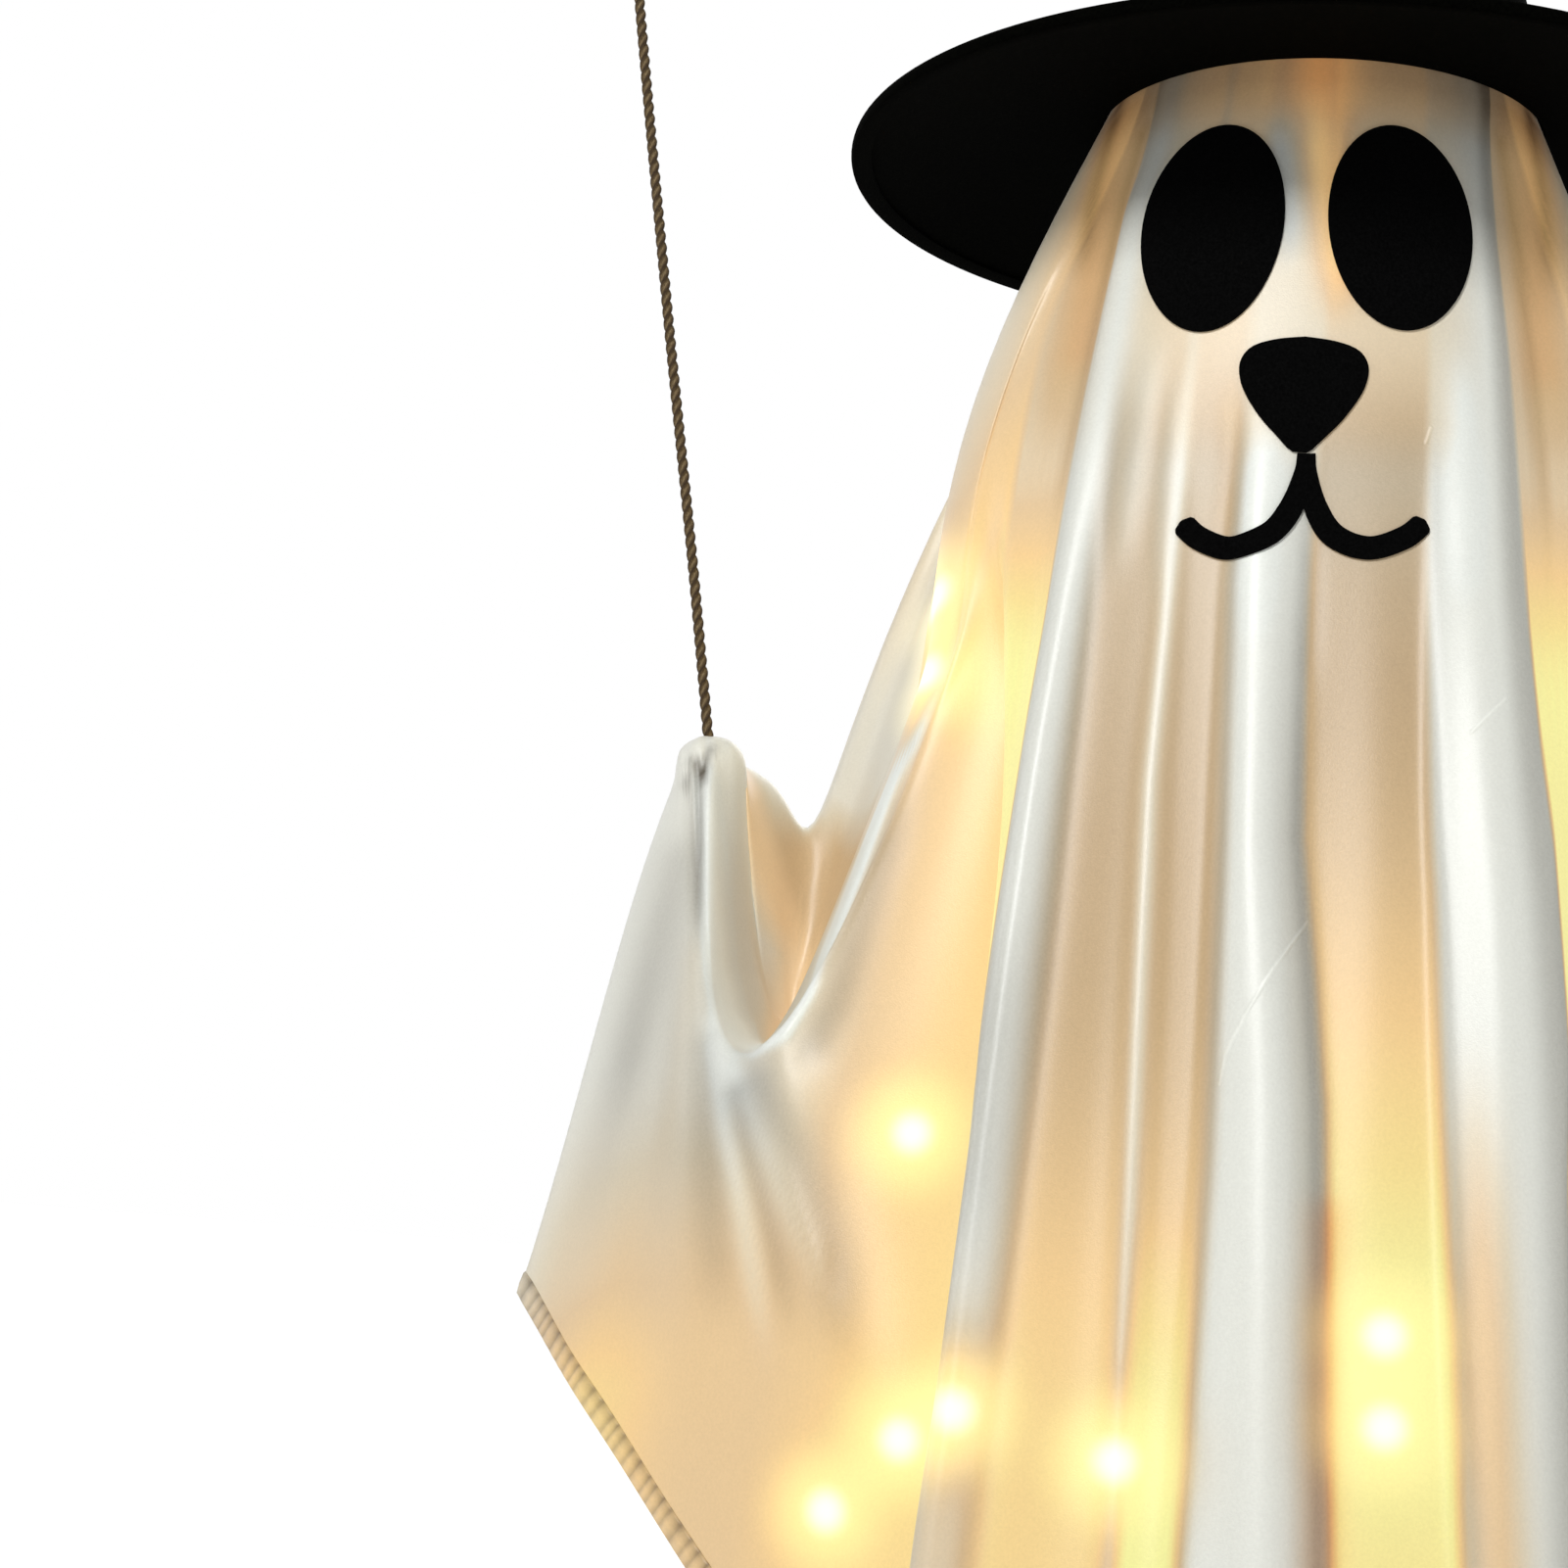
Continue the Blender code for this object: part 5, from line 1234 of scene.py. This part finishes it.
def nose_outline():
    right = [route_point([Vector((x, 0, z)) for x, z in NOSE_HALF], k / 40) for k in range(41)]
    both = [(NOSE_MIDDLE + p.x, p.z) for p in right] + [(NOSE_MIDDLE - p.x, p.z) for p in right[:0:-1]]
    return by_angle(both, (NOSE_MIDDLE, NOSE_MIDDLE_HEIGHT))


for name, numbers in EYES.items():
    eye = patch("felt_" + name, eye_outline(*numbers), numbers[1:3])
    seat(lay_on_cloth(eye), FELT, "black_felt", name)
nose = patch("felt_nose", nose_outline(), (NOSE_MIDDLE, NOSE_MIDDLE_HEIGHT))
seat(lay_on_cloth(nose), FELT, "black_felt", "nose")
print("nose faces:", len(nose.data.polygons))


# %% [markdown]
# The mouth is one strip of felt, cut along two arcs that meet under the nose. Half of its line is
# written down. The strip is widened on both sides of it, mirrored and tilted a little.

# %% The mouth: a strip bent along its line, with round ends
def make_mouth():
    line = even_route([Vector((x, 0, z)) for x, z in MOUTH_LINE], 0.0012)
    last = len(line) - 1
    points, faces = [], []
    tip = MOUTH_HALF_WIDTH * 0.62
    for k, place in enumerate(line):
        ahead = line[min(k + 1, last)] - line[max(k - 1, 0)]
        across = Vector((-ahead.z, 0, ahead.x)).normalized()
        left = route_length(line[k:])
        width = MOUTH_HALF_WIDTH * mix(0.76, 1.0, ease((0.548 - place.z) / 0.022))
        if left < tip:
            width *= math.sqrt(max(1 - (1 - left / tip)**2, 0.02))
        for step in range(5):
            spot = place + across * width * (1 - step / 2)
            points.append(Vector((max(spot.x, 0.0), IN_FRONT, spot.z)))
    for k in range(last):
        for step in range(4):
            a = 5 * k + step
            faces.append((a, a + 1, a + 6, a + 5))
    piece = mesh_piece("felt_mouth", points, faces)
    pick(piece)
    other = piece.modifiers.new("Other side", "MIRROR")
    other.merge_threshold = 0.0001
    bpy.ops.object.modifier_apply(modifier="Other side")
    for corner in piece.data.vertices:
        corner.co.z += MOUTH_TILT * corner.co.x
        corner.co.x += MOUTH_MIDDLE
    tidy = bmesh.new()
    tidy.from_mesh(piece.data)
    bmesh.ops.remove_doubles(tidy, verts=tidy.verts, dist=0.00005)
    bmesh.ops.dissolve_degenerate(tidy, edges=tidy.edges, dist=0.00002)
    bmesh.ops.recalc_face_normals(tidy, faces=tidy.faces)
    if sum((face.normal.y for face in tidy.faces)) > 0:
        bmesh.ops.reverse_faces(tidy, faces=tidy.faces)
    tidy.to_mesh(piece.data)
    tidy.free()
    return piece


seat(lay_on_cloth(make_mouth()), FELT, "black_felt", "mouth")

# %% [markdown]
# The hat is turned: its brim, its bound edge, its crown and its ribbon are all rings. A lathe
# (Screw) modifier could do it too. Here each piece starts as a circle, whose edge is extruded and
# resized along the profile, and the last ring is bridged to the first, so the wall closes.

# %% Hat finishes
hat = Finish("hat felt", (0.001, 0.001, 0.001), 0.95, Specular_IOR_Level=0.01)
hat.colour(hat.ramp(hat.noise(700.0, 4.0), [(0.3, (0.0003, 0.0003, 0.0002)), (0.8, (0.0018, 0.0019, 0.0013))]))
HAT_FELT = hat.raise_by(hat.noise(1100.0, 4.0), 0.0003, 0.5)
ribbon = Finish("hat ribbon", (0.035, 0.040, 0.032), 0.5)
weave = ribbon.noise(1.0, 1.0, (500.0, 500.0, 1800.0))
ribbon.colour(ribbon.ramp(weave, [(0.3, (0.022, 0.026, 0.020)), (0.7, (0.050, 0.056, 0.044))]))
RIBBON = ribbon.raise_by(weave, 0.0002, 0.6)


# %% Turned pieces
def turned(name, profile, steps=128):
    """Rings along a closed profile of (radius, height), made by extruding a circle's edge."""
    deselect()
    radius, height = profile[0]
    bpy.ops.mesh.primitive_circle_add(vertices=steps, radius=radius, location=(0, 0, height))
    piece = bpy.context.object
    piece.name = name
    bpy.ops.object.transform_apply(location=True, rotation=True, scale=True)
    bpy.ops.object.mode_set(mode="EDIT")
    bpy.ops.mesh.select_mode(type="EDGE")
    bpy.ops.mesh.select_all(action="SELECT")
    for (r0, z0), (r1, z1) in zip(profile, profile[1:]):
        bpy.ops.mesh.extrude_edges_move(MESH_OT_extrude_edges_indiv={},
                                        TRANSFORM_OT_translate={"value": (0, 0, z1 - z0)})
        bpy.ops.transform.resize(value=(r1 / r0, r1 / r0, 1), center_override=(0, 0, z1))
    bpy.ops.mesh.select_all(action="DESELECT")
    bpy.ops.mesh.select_non_manifold()
    bpy.ops.mesh.bridge_edge_loops()
    bpy.ops.mesh.select_all(action="SELECT")
    bpy.ops.mesh.normals_make_consistent(inside=False)
    bpy.ops.object.mode_set(mode="OBJECT")
    bpy.ops.object.shade_smooth()
    bpy.ops.object.shade_smooth_by_angle(angle=math.radians(40))
    return piece


BRIM_RADIUS, BRIM_DROOP, BRIM_THICKNESS, BRIM_LEVEL = 0.198, 0.020, 0.0026, 0.7212
OPENING_RADIUS = 0.0941
CROWN_BASE, CROWN_HEIGHT, CROWN_WALL = 0.0975, 0.320, 0.0022
CROWN_FOOT = BRIM_LEVEL + 0.0003
BAND_GAP, BAND_THICKNESS = 0.0004, 0.0012
BINDING_DEPTH, BINDING_GAP, BINDING_THICKNESS, BINDING_BULGE = 0.007, 0.0004, 0.0011, 0.0013
# The crown's outline: share of its height, and share of the radius at its foot
CROWN_SHAPE = [(0.0, 1.0), (0.05, 0.965), (0.10, 0.930), (0.26, 0.780), (0.46, 0.545), (0.70, 0.305),
               (0.95, 0.105), (0.992, 0.055)]


def brim_height(radius):
    share = max(radius - OPENING_RADIUS, 0.0) / (BRIM_RADIUS - OPENING_RADIUS)
    return BRIM_LEVEL - BRIM_DROOP * share**1.3


def make_brim():
    radii = [mix(OPENING_RADIUS, BRIM_RADIUS, k / 12) for k in range(13)]
    upper = [(r, brim_height(r)) for r in radii]
    lower = [(r, brim_height(r) - BRIM_THICKNESS) for r in reversed(radii)]
    seat(turned("felt_brim", upper + lower, 160), HAT_FELT, "hat_felt", "hat_brim")


def make_binding():
    """A strip folded round the brim's edge, a small gap away from it, with a rounded outside."""
    inner = BRIM_RADIUS - BINDING_DEPTH
    gap, wrap = BINDING_GAP, BINDING_THICKNESS
    profile = [(inner, brim_height(inner) + gap), (BRIM_RADIUS + gap, brim_height(BRIM_RADIUS) + gap),
               (BRIM_RADIUS + gap, brim_height(BRIM_RADIUS) - BRIM_THICKNESS - gap),
               (inner, brim_height(inner) - BRIM_THICKNESS - gap)]
    middle = brim_height(BRIM_RADIUS) - BRIM_THICKNESS / 2
    outer = [(inner, brim_height(inner) - BRIM_THICKNESS - gap - wrap)]
    for k in range(9):
        angle = mix(-PI / 2, PI / 2, k / 8)
        outer.append((BRIM_RADIUS + gap + BINDING_BULGE * math.cos(angle),
                      middle + (BRIM_THICKNESS / 2 + gap + wrap) * math.sin(angle)))
    outer.append((inner, brim_height(inner) + gap + wrap))
    seat(turned("felt_binding", profile + outer, 160), HAT_FELT, "hat_felt", "brim_binding")


def crown_radius(share):
    xs, ys = zip(*CROWN_SHAPE)
    return CROWN_BASE * float(np.interp(share, xs, ys))


def make_crown():
    smooth = [route_point([Vector((s, w, 0)) for s, w in CROWN_SHAPE], k / 28) for k in range(29)]
    outer = [(CROWN_BASE * p.y, CROWN_FOOT + CROWN_HEIGHT * p.x) for p in smooth]
    outer += [(0.0038, outer[-1][1] + 0.0014), (0.0018, outer[-1][1] + 0.0021), (0.0002, outer[-1][1] + 0.0023)]
    inner = [(max(r - CROWN_WALL, 0.0002), max(z - CROWN_WALL * 0.5, CROWN_FOOT)) for r, z in outer[:-3]]
    inner.append((0.0002, outer[-4][1] - 0.001))
    seat(turned("felt_crown", outer[::-1] + inner, 128), HAT_FELT, "hat_felt", "hat_crown")


def make_band():
    """The ribbon follows the slope of the crown."""
    low, high = (corner.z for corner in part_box("hat_band"))
    heights = [mix(low, high, k / 8) for k in range(9)]
    inner = [(crown_radius((z - CROWN_FOOT) / CROWN_HEIGHT) + BAND_GAP, z) for z in heights]
    outer = [(radius + BAND_THICKNESS, z) for radius, z in reversed(inner)]
    seat(turned("ribbon_band", outer + inner, 128), RIBBON, "hat_ribbon", "hat_band")


make_brim()
make_binding()
make_crown()
make_band()
print("brim, mm across:", round(2000 * BRIM_RADIUS))

# %% [markdown]
# The hidden hard pieces stay as the CAD model gives them: the wire stand, the globe and its hub,
# the beads, the lamps on their lead and the battery case. Each gets a finish with a fine grain.

# %% Other finishes
steel = Finish("coated wire", (0.60, 0.60, 0.58), 0.35, 0.9)
steel.link(steel.ramp(steel.noise(300.0), [(0.3, (0.25,) * 3), (0.7, (0.45,) * 3)]), "Roughness")
STEEL = steel.raise_by(steel.noise(800.0), 0.00005, 0.3)
globe = Finish("milky plastic", (0.92, 0.88, 0.78), 0.35)
globe.shader.inputs["Emission Color"].default_value = (1.0, 0.78, 0.45, 1.0)
globe.shader.inputs["Emission Strength"].default_value = 0.35
GLOBE = globe.raise_by(globe.noise(200.0), 0.0001, 0.2)
plastic = Finish("case plastic", (0.75, 0.75, 0.72), 0.45)
PLASTIC = plastic.raise_by(plastic.noise(1500.0), 0.00008, 0.4)
wood = Finish("beech bead", (0.62, 0.44, 0.26), 0.6)
WOOD = wood.raise_by(wood.noise(1.0, 3.0, (400, 400, 80)), 0.0001, 0.4)
copper = Finish("lamp lead", (0.75, 0.42, 0.18), 0.3, 0.9)
COPPER = copper.raise_by(copper.noise(900.0), 0.00003, 0.3)
lamp = Finish("warm lamp", (1.0, 0.80, 0.42), 0.2)
lamp.shader.inputs["Emission Color"].default_value = (1.0, 0.82, 0.48, 1.0)
lamp.shader.inputs["Emission Strength"].default_value = 3.0
LAMP = lamp.raise_by(lamp.noise(900.0), 0.00005, 0.2)
cell = Finish("cell sleeve", (0.20, 0.21, 0.23), 0.35)
CELL = cell.raise_by(cell.noise(700.0), 0.00003, 0.2)
slider = Finish("slider plastic", (0.03, 0.03, 0.03), 0.5)
SLIDER = slider.raise_by(slider.noise(1500.0), 0.00005, 0.4)
FINISH_OF = {"coated_wire": STEEL, "milky_plastic": GLOBE, "hub_plastic": PLASTIC, "beech_bead": WOOD,
             "lamp_lead": COPPER, "warm_lamp": LAMP, "case_plastic": PLASTIC, "cell_sleeve": CELL,
             "slider_plastic": SLIDER}
for part in frame["record"]["subparts"]:
    finish = FINISH_OF.get(part["material_slot"])
    if finish:
        node = nodes[part["node"]]
        node.data.materials.clear()
        node.data.materials.append(finish)

# %% [markdown]
# The copy that the face was laid on has done its work and goes.

bpy.data.objects.remove(surface, do_unlink=True)

# %% [markdown]
# A pale floor and plain soft light, as in a small studio. The floor and the sky look white to the
# camera, in a mirror and through glass, but light the object at a plain level, so that its pale
# cloth keeps its shades.


# %% Floor, sky and lights
FLOOR_SIZE, FLOOR_LEVEL, FLOOR_GLOW = 60.0, -0.0005, 0.78
SKY_LEVEL = 0.24
# Name, place, what it shines at, size and power
LIGHTS = [("key", (-0.50, -2.2, 1.65), (0, 0, 0.40), 0.7, 41.0),
          ("left", (-2.0, -0.1, 0.9), (-0.15, 0, 0.45), 1.0, 4.0),
          ("fill", (2.2, -1.7, 0.8), (0, 0, 0.45), 1.0, 6.0),
          ("back", (0.5, 2.2, 1.8), (0, 0, 0.6), 1.5, 14.0)]


def make_floor():
    deselect()
    bpy.ops.mesh.primitive_plane_add(size=FLOOR_SIZE, location=(0, 0, FLOOR_LEVEL))
    floor = bpy.context.object
    floor.name = "floor"
    bpy.ops.object.transform_apply(location=True, rotation=True, scale=True)
    paint = Finish("floor paint", (0.80, 0.80, 0.80), 0.9)
    rays = paint.node("ShaderNodeLightPath").outputs
    seen = paint.math("MAXIMUM", rays["Is Camera Ray"], paint.math("MAXIMUM", rays["Is Glossy Ray"],
                                                                   rays["Is Transmission Ray"]))
    paint.shader.inputs["Emission Color"].default_value = (1, 1, 1, 1)
    paint.link(paint.math("MULTIPLY", seen, FLOOR_GLOW), "Emission Strength")
    floor.data.materials.append(paint.material)


def make_sky(level):
    world = bpy.data.worlds.new("studio")
    bpy.context.scene.world = world
    world.use_nodes = True
    tree = world.node_tree
    background = tree.nodes["Background"]
    path = tree.nodes.new("ShaderNodeLightPath")
    seen = tree.nodes.new("ShaderNodeMath")
    seen.operation = "MAXIMUM"
    mirrored = tree.nodes.new("ShaderNodeMath")
    mirrored.operation = "MAXIMUM"
    tree.links.new(path.outputs["Is Glossy Ray"], mirrored.inputs[0])
    tree.links.new(path.outputs["Is Transmission Ray"], mirrored.inputs[1])
    tree.links.new(path.outputs["Is Camera Ray"], seen.inputs[0])
    tree.links.new(mirrored.outputs[0], seen.inputs[1])
    strength = tree.nodes.new("ShaderNodeMapRange")
    strength.inputs["To Min"].default_value = level
    strength.inputs["To Max"].default_value = 1.0
    tree.links.new(seen.outputs[0], strength.inputs["Value"])
    tree.links.new(strength.outputs[0], background.inputs["Strength"])
    background.inputs["Color"].default_value = (1, 1, 1, 1)


def softbox(name, place, aim, size, power):
    deselect()
    bpy.ops.object.light_add(type="AREA", location=place)
    box = bpy.context.object
    box.name = name
    box.data.energy = power
    box.data.size = size
    box.rotation_euler = (Vector(aim) - Vector(place)).to_track_quat("-Z", "Y").to_euler()


make_floor()
make_sky(SKY_LEVEL)
for light in LIGHTS:
    softbox(*light)
print("lights:", len(LIGHTS))
bpy.context.scene.view_settings.view_transform = "Standard"
